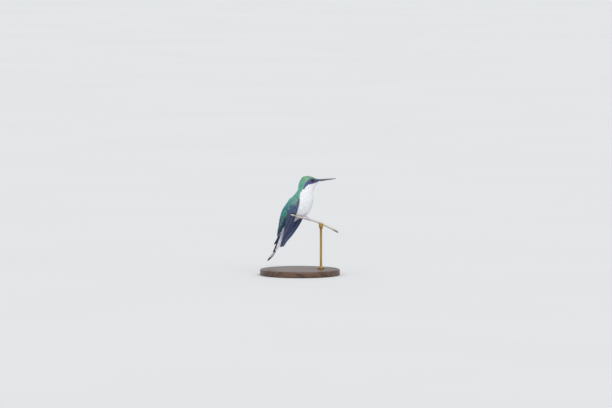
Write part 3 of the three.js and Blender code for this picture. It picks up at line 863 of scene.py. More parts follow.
def feather_roots(first, last, closeness):
    """Cuts, angles and row distances of feather roots in staggered rows, each row evenly spaced round
    the body. closeness is a share of the spacing before and behind the throat."""
    fine = np.linspace(-math.pi, math.pi, 721)
    cuts, angles, steps = [], [], []
    cut, row = first, 0
    while cut < last:
        line = body_point(np.full_like(fine, cut), fine)
        length = np.concatenate([[0], np.cumsum(np.linalg.norm(np.diff(line, axis=0), axis=1))])
        spacing = float(row_spacing(cut)) * np.interp(cut, (3.5, 5.5), closeness)
        count = max(8, round(length[-1] / spacing))
        stagger = 0.5 * (row % 2)
        at = (np.arange(count) + stagger + rng.uniform(-0.18, 0.18, count)) / count * length[-1]
        angles.append(np.interp(at % length[-1], length, fine))
        rear, _, _ = body_frame(np.full(count, cut), angles[-1])
        step = spacing / np.linalg.norm(rear, axis=-1).mean()
        cuts.append(cut + rng.uniform(-0.15, 0.15, count) * step)
        steps.append(np.full(count, step))
        cut += step
        row += 1
    return np.clip(np.concatenate(cuts), 0.02, None), np.concatenate(angles), np.concatenate(steps)


def eye_flow(points, rear, round_, eyes):
    """The lie of the feathers: rearwards, parting round each eye."""
    flow = np.array(rear)
    for eye in eyes:
        room = eye.opening * EYE_ROOM
        off = points - eye.middle
        x, y = dot(off, rear), dot(off, round_)
        part = room**2 / np.maximum(x**2 + y**2, room**2) ** 2
        part = np.where(np.linalg.norm(off, axis=-1, keepdims=True) < EYE_FLOW, part, 0)
        flow = flow - rear * (part * (x**2 - y**2)) - round_ * (part * 2 * x * y)
    return unit(flow)


def laid_feathers(vanes, cut, angle, length, half_width, eyes, ragged, camber, unrest, down):
    """Feathers that follow the body from roots in the skin to tips at the plumage's surface, each in
    the colour and gloss of the place where it shows most."""
    count, rows = len(cut), len(vanes.along)
    yaw = np.radians(rng.normal(0, 4, count))[:, None]
    roll = np.radians(rng.normal(0, 6 * unrest, count))[:, None]
    light = rng.normal(1, 0.13 * unrest, count)
    warmth = rng.normal(0, 0.08, count)
    top = rng.uniform(-0.02, 0.1, count) * unrest + 0.03
    step = length / (rows - 1)
    c, a = cut, angle
    centres, sideways, outward, places = [], [], [], []
    for share in vanes.along:
        depth = mix(skin_depth(cut) + 0.12, top, share)
        rear, round_, out = body_frame(c, a)
        along = unit(rear)
        spot = body_point(c, a, depth)
        flow = eye_flow(spot, along, round_, eyes)
        flow = unit(flow + round_ * np.tan(yaw))
        side = unit(np.cross(flow, out))
        side = unit(side + out * np.tan(roll))
        centres.append(spot)
        sideways.append(side)
        outward.append(unit(np.cross(side, flow)))
        places.append((c, a))
        around = np.linalg.norm(body_point(c, a + 0.01) - body_point(c, a - 0.01), axis=-1) / 0.02
        c = c + step * np.sum(flow * along, axis=-1) / np.linalg.norm(rear, axis=-1)
        a = a + step * np.sum(flow * round_, axis=-1) / np.maximum(around, 0.4)
    colour, gloss = markings(*places[int(rows * 0.75)])
    warmth = warmth * gloss
    colour = colour * np.stack([1 + warmth, np.ones(count), 1 - warmth], axis=-1) * light[:, None]
    shade = root_shade(vanes.along, down) * (1 - 0.3 * (1 - down) * smooth(0.86, 1.0, vanes.along))
    rgba = with_alpha(colour[:, None, :] * shade[None, :, None], gloss[:, None])
    shafts = (np.stack(rows_of, 1) for rows_of in (centres, sideways, outward))
    vanes.add(*shafts, half_width, 0.035, rgba, body_patch(cut, angle), camber, ragged)


def body_coat(eyes, gloss_material, soft_material):
    """All the small feathers of head, neck and trunk, in pieces by region."""
    pieces = []
    for coat, material in zip(COATS, (gloss_material, soft_material)):
        cut, angle, step = feather_roots(0.05, LAST_CUT + 0.2, coat["closeness"])
        rear, _, _ = body_frame(cut, angle)
        spot = body_point(cut, angle)
        overlap = row_overlap(cut) * coat["length"]
        _, gloss = markings(cut + SHOWN_AT * overlap * step, angle)
        keep = gloss < 0.5 if coat["white"] else gloss > 0.5
        for eye in eyes:
            keep &= np.linalg.norm(spot - eye.middle, axis=-1) > eye.opening * EYE_ROOM
        length = step * np.linalg.norm(rear, axis=-1) * overlap * rng.normal(1, 0.08, len(cut))
        half_width = row_spacing(cut) * coat["width"] * rng.normal(1, 0.07, len(cut))
        for region, first, last in coat["regions"]:
            inside = keep & (cut >= first) & (cut < last)
            vanes = Vanes(7, 7)
            if region == "face":
                bill_feathers(vanes)
                for eye in eyes:
                    lid_feathers(vanes, eye)
            near_eyes = eyes if last < 5.5 else ()
            roots = (values[inside] for values in (cut, angle, length, half_width))
            laid_feathers(vanes, *roots, near_eyes, **coat["lie"])
            pieces.append(vanes.piece("coat_" + region, material))
    return pieces


# ---- wings -----------------------------------------------------------------------------------

# front edge x, z, distance out from the mid-plane, the same for the rear edge, and the turn's share,
# from the shoulder to the tip of the folded wing
WING_CUTS = [
    (-0.8, 77.6, 6.4, -3.6, 78.0, 5.6, 0.55),
    (1.4, 75.8, 8.2, -6.6, 76.2, 6.0, 0.62),
    (2.2, 72.8, 9.4, -8.4, 73.0, 6.9, 0.75),
    (2.0, 68.0, 10.0, -8.8, 68.0, 8.3, 0.92),
    (0.7, 61.8, 10.2, -8.8, 61.4, 9.0, 1),
    (-1.7, 54.6, 9.6, -10.5, 53.6, 7.9, 1),
    (-5.5, 46.4, 7.5, -13.3, 45.2, 5.7, 1),
    (-10.6, 38.6, 5.5, -15.6, 37.4, 4.2, 1),
    (-15.3, 32.2, 3.6, -17.9, 31.2, 3.0, 1),
    (-18.0, 27.2, 2.4, -19.3, 27.6, 2.1, 1),
]
WING_LAST = len(WING_CUTS) - 1.0
WING_THICKNESS = (2.9, 0.7)  # of the arm and of the tip
WING_BULGE = (1.1, 0.2)
WING_FULL_AT = 0.13 * WING_LAST  # the cut by which the shoulder has swollen in full
WING_SHOULDER = 0.4  # of the full swell at the shoulder itself

# Where the tip of each flight feather lies along the wing's cuts, from the innermost to the
# outermost. The tips step down the rear edge, and the last feather makes the wing's point and its
# front edge.
SECONDARY_TIPS = (4.0, 4.15, 4.3, 4.45, 4.6, 4.8)
PRIMARY_TIPS = (5.0, 5.35, 5.75, 6.2, 6.65, 7.1, 7.6, 8.1, 8.6, 9.0)
# root's cut, the first root's distance from the front edge and the distance to the next one, and how
# far the vane reaches before and behind the shaft
SECONDARY = (1.9, 8.6, -0.32, 1.5, 2.4)
PRIMARY = (2.7, 6.44, -0.66, 0.55, 2.9)
WING_POINT = 0.8  # how far the outermost primary's front vane widens near its tip
FLIGHT_HEIGHTS = (0.95, 0.058)  # of the innermost feather on the swell, and how much lower each next one
FLIGHT_DARK = linear((45, 54, 83))
FLIGHT_TIP = linear((64, 67, 94))

# scapulars: cuts of the rear edge's feathers, and how far across the wing each of their rows lies
EDGE_CUTS = np.linspace(0.3, 3.4, 26)
EDGE_ROWS = ((-1.15, 0), (-0.92, 0.08), (-0.72, 0.02), (-0.55, -0.06))


def wing_edges(side, t):
    row = spline(WING_CUTS, t)
    turn = row[..., 6] * BODY_TURN
    front = turned_point(row[..., 0], row[..., 1], side * row[..., 2], turn)
    rear = turned_point(row[..., 3], row[..., 4], side * row[..., 5], turn)
    return front, rear


def wing_width(t):
    front, rear = wing_edges(1, t)
    return np.linalg.norm(front - rear, axis=-1)


def wing_place(side, t, u, height):
    """A point of the folded wing and the way out from it: t counts cuts from the shoulder, u runs
    from -1 at the rear edge to 1 at the front, height is a share of the swell towards the outside."""
    t, u, height = np.broadcast_arrays(t, u, height)
    front, rear = wing_edges(side, t)
    step = 0.05
    ahead = sum(wing_edges(side, np.minimum(t + step, WING_LAST))) / 2
    behind = sum(wing_edges(side, np.maximum(t - step, 0))) / 2
    out = unit(np.cross(ahead - behind, unit(front - rear))) * -side
    tip_share = np.minimum(1, t / WING_LAST * 1.25)
    swell = mix(*WING_THICKNESS, tip_share) / 2 + mix(*WING_BULGE, tip_share)
    swell = swell * mix(WING_SHOULDER, 1, smooth(0, WING_FULL_AT, t))
    rise = height * (swell * np.clip(1 - u**2, 0, 1) + 0.12)
    return mix(rear, front, ((u + 1) / 2)[..., None]) + out * rise[..., None], out


def flight_colour(along, across, light):
    """Blackish with a blue gloss, browner and paler towards the tip, with a painted highlight along the
    leading edge and a slightly paler rear edge.
    """
    tone = blend(FLIGHT_DARK, (FLIGHT_TIP, 0.7 * smooth(0.55, 1.0, along)))
    # Painted highlight: the leading vane's edge lightened up to 3.2 times; the rear edge a little paler.
    edges = 2.2 * smooth(-0.55, -1.0, across) + 0.3 * smooth(0.8, 1.0, across)
    return tone * ((1 + edges * smooth(0.95, 0.7, along)) * light)[..., None]


def flight_feathers(side, vanes):
    """Six secondaries and ten primaries, each laid on the one outside it."""
    feathers = [(tip, k, SECONDARY) for k, tip in enumerate(SECONDARY_TIPS)]
    feathers += [(tip, k, PRIMARY) for k, tip in enumerate(PRIMARY_TIPS)]
    s, x = vanes.along, vanes.across[None, :]
    fullness = np.interp(s, (0, 0.15, 0.6, 0.92, 0.97, 1), (0.35, 0.8, 1, 0.97, 0.85, 0.4))[:, None]
    highest, lower = FLIGHT_HEIGHTS
    for rank, (tip, k, (root, first_off, next_off, lead, trail)) in enumerate(feathers):
        outermost = rank == len(feathers) - 1
        t = mix(root, tip, s)[:, None]
        width = wing_width(t[:, 0])[:, None]
        off_tip = wing_width(tip) * 0.35 if outermost else wing_width(tip) - 0.45
        off = mix(first_off + next_off * k, off_tip, s**1.6)[:, None]
        widened = WING_POINT * smooth(6.0, 7.4, t) * outermost
        distance = off + np.where(x < 0, lead + widened, trail) * x * fullness
        u = np.clip(1 - 2 * distance / width, -1.04, 1 + 2 * widened / width)
        points, out = wing_place(side, np.broadcast_to(t, u.shape), u, highest - lower * rank)
        light = rng.normal(1, 0.05) * (1 + 0.45 * math.sin(1.9 * rank))
        rgba = with_alpha(flight_colour(s[:, None], x, light), 0.35)
        # under=3.0: the undersides lightened, partly their paler grey, partly painted light lifting the
        # shade on the far wing.
        vanes.add_sheets(points[None], out[None], 0.07, rgba[None], strip(rank, len(feathers)), under=3.0)


def wing_coverts(side, vanes):
    """Rows of coverts over the arm, from the small green marginals to the dark greater ones."""
    s, x = vanes.along, vanes.across[None, None, :]
    for index in range(14):
        root, length, half_width = 0.15 + 0.24 * index, 1.7 + 0.17 * index, 0.8 + 0.05 * index
        count = max(5, round(float(wing_width(np.array(root))) / (half_width * 1.25)))
        stagger = 0.5 + 0.5 * (index % 2)
        at = (np.arange(count) + stagger + rng.uniform(-0.15, 0.15, count)) / (count + 0.5)
        place = 1.0 - 2 * at
        ends = (wing_place(side, root + further, 0.0, 1.0)[0] for further in (0.3, 0))
        scale = float(np.linalg.norm(np.subtract(*ends))) / 0.3
        t = root + s[None, :] * (length * rng.normal(1, 0.07, count))[:, None] / scale
        drift = (np.radians(rng.normal(0, 4, count))[:, None] - 0.06) * s[None, :] * length
        shift = x * half_width * vane_outline(s)[None, :, None] + drift[..., None]
        u = np.clip(place[:, None, None] - 2 * shift / wing_width(t)[..., None], -1.05, 1.05)
        height = mix(0.86, 1.06, s)[None, :, None] - 0.05 * x**2
        points, out = wing_place(side, np.clip(t, 0, WING_LAST)[..., None], u, height)
        end = t[:, -1]
        dark = np.maximum(smooth(2.3, 3.0, end), smooth(0.5, 1.4, end) * smooth(0.45, 0.8, place)) * 0.92
        tone = blend(COVERT, (BACK, 0.35 * rng.random(count)), (NAVY, dark))
        shade = root_shade(s) * (1 + mix(-0.2, 0.5, dark[:, None]) * smooth(0.8, 1.0, s))
        tone = tone[:, None, :] * shade[..., None] * rng.normal(1, 0.13, count)[:, None, None]
        patches = square(0.02 + 0.96 * at, np.full(count, 0.02 + 0.96 * root / 4.5))
        vanes.add_sheets(points, out, 0.04, with_alpha(tone, 0.9)[:, :, None, :], patches)


def scapulars(side, vanes):
    """Long feathers from the back and flank that lie over the upper and rear edges of the wing."""
    rows = []
    for row in range(7):
        rows.append((np.full(9 - row, 0.4 + 0.34 * row), np.linspace(-1.0, 0.72 - 0.22 * row, 9 - row)))
    for place, later in EDGE_ROWS:
        rows.append((EDGE_CUTS + later, np.full(len(EDGE_CUTS), place)))
    t, u = (np.concatenate(values) for values in zip(*rows))
    count = len(t)
    t = t + rng.uniform(-0.14, 0.14, count)
    u = u + rng.uniform(-0.1, 0.1, count)
    size = mix(0.62, 1.0, smooth(0.3, 2.0, t)) * rng.uniform(0.9, 1.1, count)
    bulge = mix(0.7, 0.45, smooth(-1.0, -0.3, u)) * rng.uniform(0.75, 1.25, count)
    inboard = mix(1.5, 0.4, smooth(-1.0, 0.1, u)) * rng.uniform(0.7, 1.3, count)
    tip, out = wing_place(side, t, u, 1.12)
    ahead = unit(wing_place(side, t + 0.3, u + 0.06, 1.12)[0] - tip)
    front, rear = wing_edges(side, t)
    start = tip - ahead * (4.3 * size)[:, None] - out * 1.0 - unit(front - rear) * inboard[:, None]
    cut, angle = surface_places(start, 5.6, 11)
    root = body_point(cut, angle, 0.5)
    _, _, away = body_frame(cut, angle)
    s = vanes.along[None, :, None]
    normal = unit(mix(away[:, None], out[:, None], s))
    centres = mix(root[:, None], tip[:, None], s) + normal * bulge[:, None, None] * np.sin(math.pi * s**0.8)
    sideways = unit(np.cross(tip - root, out))[:, None]
    colour, gloss = markings(cut + 0.7, angle)
    colour = np.where(gloss[:, None] > 0.5, colour, COVERT) * rng.normal(1, 0.12, count)[:, None]
    rgba = with_alpha(colour[:, None] * root_shade(s), 1)
    vanes.add(centres, sideways, normal, 1.1 * size, 0.04, rgba, body_patch(cut, angle), 0.25, 0.1)


def wing(side, word, flight_material, covert_material):
    flight, coverts = Vanes(40, 13), Vanes(8, 7)
    flight_feathers(side, flight)
    wing_coverts(side, coverts)
    scapulars(side, coverts)
    return (
        flight.piece("wing_feathers_" + word, flight_material),
        coverts.piece("wing_coverts_" + word, covert_material),
    )


# ---- tail ------------------------------------------------------------------------------------

TAIL_TOP = [(-16.8, 45.2), (-19.2, 40.4), (-22.0, 34.1), (-25.0, 29.4)]
TAIL_LONG = [(-16.4, 46.0), (-19.4, 37.6), (-24.4, 24.6), (-27.6, 18.4), (-32.0, 12.8)]
TAIL_SIDE = [(-16.0, 46.0), (-17.4, 40.0), (-19.2, 34.0), (-21.4, 28.0), (-23.6, 23.0)]
# from the middle feather outwards: line, share of it, half width, distance out at root and at tip, layer
RECTRICES = [
    (TAIL_TOP, 1, 2.6, 1.0, 1.4, 0),
    (TAIL_LONG, 1, 2.8, 1.0, 1.0, 0),
    (TAIL_LONG, 0.86, 2.3, 2.0, 2.2, 1),
    (TAIL_SIDE, 1, 2.5, 1.5, 1.5, 0),
    (TAIL_SIDE, 0.85, 2.3, 1.9, 2.1, 1),
]
RECTRIX_LAYER = 0.45
RECTRIX_RISE = 0.25
TAIL_DARK = linear((50, 60, 86))
TAIL_DARK_TIP = linear((84, 90, 118))
TAIL_WHITE_ROOT = linear((190, 196, 214))
TAIL_WHITE = linear((246, 249, 253))
PATCH = linear((254, 255, 255))  # the pale spot before the dark tip


def rectrix_colour(row, s):
    """A tail feather's colours along it, and its gloss: two inner pairs dark, the next one dark with
    a pale patch, the two outer ones white."""
    dark = blend(TAIL_DARK, (TAIL_DARK_TIP, smooth(0.8, 1.0, s)))
    if row < 2:
        return dark, 0.45
    if row == 2:
        return blend(dark, (PATCH, smooth(0.66, 0.72, s) * smooth(0.99, 0.94, s))), 0.1
    return blend(TAIL_WHITE_ROOT, (TAIL_WHITE, smooth(0.3, 0.75, s))), 0.05


def rectrix(vanes, row, side, patches):
    """One tail feather, the outer ones under the inner ones."""
    line, reach, half_width, root_out, tip_out, layer = RECTRICES[row]
    s, c = vanes.along, vanes.across
    at = s * reach * (len(line) - 1)
    place = spline(line, at)
    ahead_x, ahead_z = unit(spline(line, at + 0.01) - spline(line, at - 0.01)).T
    out = side * mix(root_out, tip_out, s)
    under = layer * RECTRIX_LAYER - RECTRIX_RISE * np.abs(out)
    x, z = place[:, 0] - ahead_z * under, place[:, 1] + ahead_x * under
    centre = turned_point(x, z, out)
    across = unit(turned_point(x + ahead_z * RECTRIX_RISE, z - ahead_x * RECTRIX_RISE, out + side) - centre)
    normal = unit(np.cross(across, unit(np.gradient(centre, axis=0))))
    normal = normal * np.sign(dot(normal, UP - AHEAD))
    fullness = np.sqrt(1 - np.clip((s - 0.55) / 0.47, 0, 1) ** 2.6) * (0.8 + 0.2 * s)
    width = (half_width * fullness)[:, None, None]
    vane = (np.where(c * side > 0, 0.8, 1.0) * c * side)[:, None]
    sag = 0.06 * width * (c**2)[:, None]
    sheet = centre[:, None] + across[:, None] * (width * vane) - normal[:, None] * sag
    light = rng.normal(1, 0.04)
    tone, gloss = rectrix_colour(row, s)
    tone = tone[:, None, :] * (light * (1 - 0.12 * smooth(0.8, 1, np.abs(c))))[None, :, None]
    normal = np.broadcast_to(normal[:, None], sheet.shape)
    rgba = with_alpha(tone, gloss)
    # under=1.9 for the dark feathers: undersides lightened, partly their paler colour, partly painted light
    # lifting their shade.
    vanes.add_sheets(sheet[None], normal[None], 0.08, rgba[None], patches, under=1.9 if row < 3 else 1.0)


def tail(material):
    vanes = Vanes(46, 13)
    for row in range(len(RECTRICES)):
        for half, side in enumerate((-1, 1)):
            rectrix(vanes, row, side, strip(row * 2 + half, 2 * len(RECTRICES)))
    return vanes.piece("tail_feathers", material)


# ---- twig ------------------------------------------------------------------------------------

TWIG_LINE = [
    (-9.0, -12.4, 61.4), (-4.0, -9.6, 59.8), (0.0, -7.3, 58.4), (5.0, -4.6, 57.0),
    (11.0, -1.7, 55.4), (20.0, 2.5, 51.9), (30.0, 7.0, 46.8), (38.0, 10.6, 42.2),
]
TWIG_RADII = (0.7, 1.0)  # at the tip and from a third of its length on
TWIG_BARK = 0.93  # of that radius, before what stands out on it
TWIG_FINE = spline(TWIG_LINE, np.linspace(0, len(TWIG_LINE) - 1, 1401))
TWIG_LENGTHS = np.concatenate([[0], np.cumsum(np.linalg.norm(np.diff(TWIG_FINE, axis=0), axis=1))])
TWIG_LENGTHS /= TWIG_LENGTHS[-1]
# leaf scars: share of the length, angle
SCARS = ((0.03, 1.2), (0.21, -1.1), (0.47, 2.2), (0.62, 0.2), (0.74, -2.0), (0.9, 1.0))
LENTICELS = 90
BARE_WOOD = linear((206, 186, 150))
DRY_TIP = linear((120, 104, 90))


def twig_point(share):
    return np.stack([np.interp(share, TWIG_LENGTHS, TWIG_FINE[:, k]) for k in range(3)], axis=-1)


def twig_share_at(x):
    return float(np.interp(x, TWIG_FINE[:, 0], TWIG_LENGTHS))


def twig_radius(share):
    return mix(*TWIG_RADII, np.minimum(1, 3 * np.asarray(share)))


def twig(material):
    """Bark with leaf scars, small lenticels and fine furrows, one end cut square."""
    sides = 48
    share = np.linspace(0, 1, 460)
    s, a = np.meshgrid(share, circle(sides), indexing="ij")
    radius = twig_radius(s) * TWIG_BARK
    for k in range(6):
        first, second = rng.uniform(0, 2 * math.pi, 2)
        ripple = np.sin(a * (2 + k) + s * (40 + 23 * k) + first) * np.cos(s * (60 + 31 * k) + second)
        radius = radius + 0.018 * ripple
    radius = radius + 0.012 * np.sin(a * 11 + 6 * np.sin(s * 50))
    for at, where in SCARS:
        bud = np.cos(a - where) * 0.5 + 0.5
        radius = radius + bell(s, at, 0.012) * (0.1 + 0.22 * bud**4)
    for _ in range(LENTICELS):
        at, where = rng.uniform(0.02, 0.98), rng.uniform(-math.pi, math.pi)
        turn = np.angle(np.exp(1j * (a - where)))
        radius = radius + 0.035 * bell(s, at, 0.0035) * bell(turn, 0, 0.14)
    rings = tube(twig_point(share), radius, sides, UP)
    is_cut = (s == 1).astype(float)
    tone = with_alpha(np.broadcast_to(BARE_WOOD, s.shape + (3,)), is_cut).reshape(-1, 4)
    tone = np.vstack([tone, (*DRY_TIP, 0.6), (*BARE_WOOD, 1)])
    return skin_over("perch_twig", rings, material, colours=tone, sharp=60)


# ---- legs ------------------------------------------------------------------------------------

FORWARD = np.array((math.cos(BODY_TURN), -math.sin(BODY_TURN), 0))
TARSUS_RADIUS = 0.46
TOE_RADIUS = 0.34
TOE_SPREAD = 1.05
CLAW_SHARE = 0.74  # of a toe, up to its claw
# where each foot grips the twig, then hip and heel as x, z and left in the turned body
LEGS = {
    "right": (3.9, (-2.5, 62.5, -3.6), (-0.6, 59.6, -3.4)),
    "left": (8.2, (-1.0, 63.0, 3.6), (1.6, 60.0, 3.0)),
}
# how far along the twig each toe lies, and the angles between which it winds round it
TOES = [(-TOE_SPREAD, -10, 165), (0, -10, 165), (TOE_SPREAD, -10, 165), (0, 10, -150)]
FOOT = linear((188, 180, 198))
DOWN = linear((226, 228, 234))
THIGH_TUFTS = 70


def leg_joints(word):
    """Where a leg's hip and heel are."""
    return [turned_point(*place) for place in LEGS[word][1:]]


class Grip:
    """The twig's middle, axis and upper and front directions where a foot holds it."""

    def __init__(self, x):
        share = twig_share_at(x)
        self.centre = twig_point(share)
        self.axis = unit(twig_point(share + 0.005) - twig_point(share - 0.005))
        self.up = unit(UP - self.axis[2] * self.axis)
        front = FORWARD - self.axis * (self.axis @ FORWARD)
        self.front = unit(front - self.up * (self.up @ FORWARD))
        self.radius = float(twig_radius(share)) + 0.02

    def bend(self, along, start, end, share, rise):
        """Points round the twig from one angle to another, lifted by rise off the bark."""
        slide = self.axis * (along * (0.4 + 0.6 * share))[:, None]
        spoke = spokes(self.up, self.front, np.radians(mix(start, end, share)))
        return self.centre + slide + spoke * (self.radius + rise)[:, None]


def scuted(radius, length, rows, sides, scale):
    """The radius of a toe or shank with a scute every scale mm along its front."""
    at = np.linspace(0, length, rows)[:, None]
    scute = (at / scale) % 1
    return radius * (1 + 0.13 * (0.5 - scute) * (0.5 + 0.5 * np.cos(circle(sides))))


def leg_shells(word, grip):
    """Rings of the shank, palm and toes of one leg."""
    rows, shank_sides, toe_sides = 70, 20, 18
    foot = grip.centre + grip.up * (grip.radius + TOE_RADIUS)
    shank = spline([*leg_joints(word), foot], np.linspace(0, 2, rows))
    shank_radius = scuted(TARSUS_RADIUS, 6, rows, shank_sides, 0.5)
    palm = foot + grip.up * np.linspace(-0.42, 0.62, 12)[:, None]
    swell = 0.62 * np.sqrt(np.clip(1 - np.linspace(-0.98, 0.98, 12) ** 2, 0, 1))
    shells = [tube(shank, shank_radius, shank_sides, FORWARD), tube(palm, swell, shank_sides, grip.front)]
    share = np.linspace(0, CLAW_SHARE, rows)
    knuckles = 1 + 0.1 * np.abs(np.sin(share * 9))
    radius = TOE_RADIUS * np.interp(share, (0, 0.1, 0.6, CLAW_SHARE), (1, 1.05, 0.92, 0.72)) * knuckles
    for along, start, end in TOES:
        line = grip.bend(along, start, end, share, radius)
        length = np.linalg.norm(np.diff(line, axis=0), axis=1).sum()
        toe_radius = scuted(1, length, rows, toe_sides, 0.42) * radius[:, None]
        shells.append(round_ends(tube(line, toe_radius, toe_sides, line - grip.centre), 0.2))
    return shells


def claws(word, grip, material):
    """Four curved, pointed claws."""
    start = CLAW_SHARE - 0.05
    share = np.linspace(start, 1, 30)
    radius = np.interp(share, (start, CLAW_SHARE, 1), (0.2, 0.23, 0.03))
    rise = np.interp(share, (start, 0.85, 1), (0.3, 0.42, 0.05))
    shells = [tube(grip.bend(*toe, share, rise), radius, 14, grip.axis) for toe in TOES]
    return new_piece("claws_" + word, *joined(shells), material)


def thigh_tufts(material):
    """Short white down round the top of each shank."""
    vanes = Vanes(6, 5)
    s = vanes.along
    for word in LEGS:
        hip, heel = leg_joints(word)
        around = rng.uniform(0, 2 * math.pi, THIGH_TUFTS)
        start = rng.uniform(-0.1, 0.5, THIGH_TUFTS) * np.linalg.norm(heel - hip)
        length = rng.uniform(1.8, 2.6, THIGH_TUFTS)
        axis = unit(heel - hip)
        first = unit(np.cross(axis, LEFT))
        spoke = spokes(first, np.cross(axis, first), around)[:, None]
        spread = (0.55 + 0.5 * np.sin(s * 2.2))[:, None]
        centres = hip + axis * (start[:, None] + s * length[:, None])[..., None] + spoke * spread
        patches = square(0.3 + 0.4 * rng.random(THIGH_TUFTS), rng.random(THIGH_TUFTS))
        tone = with_alpha(np.broadcast_to(DOWN, (THIGH_TUFTS, 1, 3)), 0)
        half_width = np.full(THIGH_TUFTS, 0.55)
        vanes.add(centres, np.cross(spoke, axis), spoke, half_width, 0.03, tone, patches, 0.2, 0.6)
    return vanes.piece("coat_thighs", material)


# ---- skin ------------------------------------------------------------------------------------


def body_skin(material):
    """Head, neck and trunk, in the markings of the feathers over them, darkened as painted shade."""
    angles = np.linspace(-math.pi, math.pi, 120, endpoint=False)
    cut, angle = np.meshgrid(np.linspace(0, LAST_CUT, 170), angles, indexing="ij")
    colour, _ = markings(cut, angle)
    colour = np.vstack([colour.reshape(-1, 3), colour[0, 0], colour[-1, 0]])
    rings = body_point(cut, angle, skin_depth(cut))
    # Painted shade: the skin under the coat is its markings darkened to about half.
    return skin_over("skin", rings, material, colours=with_alpha(colour * 0.55 + 0.03, 0))


def arm_rings(side):
    """The folded arm under the coverts."""
    t = np.linspace(0.1, 3.3, 24)
    size = np.interp(t, (0.1, 0.5, 2.6, 3.3), (0.3, 0.6, 0.5, 0.1))[:, None]
    front, rear = wing_edges(side, t)
    middle, out = wing_place(side, t, 0.1, 0.1)
    across = (front - rear) / 2 * size
    return middle[:, None] + spokes(across[:, None], (out * 1.2 * size)[:, None], circle(20))


def build_skin(grips, material):
    """Head, neck, trunk, folded arms and legs under one skin."""
    skin = body_skin(material)
    arm_points, arm_faces = joined([arm_rings(-1), arm_rings(1)])
    legs = [rings for word, grip in grips.items() for rings in leg_shells(word, grip)]
    leg_points, leg_faces = joined(legs)
    # Painted shade: the arm under the coverts is their colour darkened to half.
    arm_tone = np.tile((*(COVERT * 0.5 + 0.03), 0), (len(arm_points), 1))
    leg_tone = np.tile((*FOOT, 1), (len(leg_points), 1))
    limbs = new_piece(
        "limbs", np.vstack([arm_points, leg_points]), np.vstack([arm_faces, leg_faces + len(arm_points)]),
        material, colours=np.vstack([arm_tone, leg_tone]),
    )
    carve(skin, limbs, "UNION")
    tinted_near(skin, leg_points, (*FOOT, 1), 0.15)
    return skin


# ---- stand -----------------------------------------------------------------------------------

DISC_EDGE = 1.2  # radius of the disc's rounded edges
GROOVE = (4.0, 0.6, 0.35)  # in from the rim, width and depth
ROD_AT_X = 21.0
ROD_RADIUS = 1.2
ROD_HEAD = (2.1, 0.2)  # radius, and how far it stands over the twig's middle
NOTCH_RADIUS = 1.06
RING_RADII = (1.25, 3.6)
RING_HEIGHT = 2.4
SEAM = 0.1  # between the disc's top and the brass that stands on it


def turned(name, profile, centre, segments, material):
    """A round piece with a vertical axis, from a profile of radius and height."""
    radius, height = np.asarray(profile, float).T[:, :, None, None]
    rings = centre * (1, 1, 0) + radius * spokes(AHEAD, LEFT, circle(segments)) + height * UP
    return skin_over(name, rings, material, sharp=35)


def rounded(radius, corner_z, edge, start, end, steps=8):
    """Points of a quarter round on a disc's rim, between two angles in degrees."""
    angle = np.radians(np.linspace(start, end, steps))
    return [(radius - edge + edge * math.cos(a), corner_z + edge * math.sin(a)) for a in angle]


def flare(radius, width, start, height):
    """Points of a smooth S from one radius to another."""
    return [(radius + width * smooth(0, 1, s), start + height * s) for s in np.linspace(0, 1, 14)]


def disc(wood):
    """The turned base, with a groove inside its rim, and how high its top lies."""
    low, high = (np.array(corner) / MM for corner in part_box("stand_base"))
    bottom, radius, top = low[2], high[0], high[2]
    inset, width, depth = GROOVE
    profile = [(0.5, bottom), (radius / 2, bottom)]
    profile += rounded(radius, bottom + DISC_EDGE, DISC_EDGE, -90, 0)
    profile += rounded(radius, top - DISC_EDGE, DISC_EDGE, 0, 90)
    groove = radius - inset
    profile += [(groove, top), (groove - width / 2, top - depth), (groove - width, top)]
    profile += [(radius / 2, top), (0.5, top)]
    return turned("stand_disc", profile, np.zeros(3), 160, wood), top


def rod_and_ring(bottom, brass):
    """The rod with a notched head that carries the twig, and the ring at its foot."""
    share = twig_share_at(ROD_AT_X)
    foot = twig_point(share)
    head = foot[2]
    radius, rise = ROD_HEAD
    profile = [(0.2, bottom), (ROD_RADIUS, bottom)]
    profile += [(ROD_RADIUS, z) for z in np.linspace(bottom + 1, head - 6.2, 20)]
    profile += flare(ROD_RADIUS, radius - ROD_RADIUS, head - 6.0, 2.6)
    profile += rounded(radius, head, rise, 0, 90, 5) + [(0.3, head + rise)]
    rod = turned("stand_post", profile, foot, 48, brass)
    notch = twig_point(np.linspace(share - 0.09, share + 0.09, 30))
    carve(rod, skin_over("notch", tube(notch, np.full(30, NOTCH_RADIUS), 40, UP), brass), "DIFFERENCE")
    inner, outer = RING_RADII
    profile = [(inner, bottom), (outer - 0.3, bottom)] + rounded(outer, bottom + 0.3, 0.3, -90, 0, 4)
    profile += [(outer, bottom + 0.8)] + flare(outer, -1.9, bottom + 0.8, 1.6)
    profile += [(inner, bottom + RING_HEIGHT)]
    return rod, turned("stand_ring", profile, foot, 96, brass)


# ---- the whole -------------------------------------------------------------------------------


def finish_piece(piece, slot, *nodes):
    """Every piece rides on the still body and stands for the CAD nodes it covers; slot is not used."""
    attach(piece, "root")
    if nodes:
        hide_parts(*nodes)


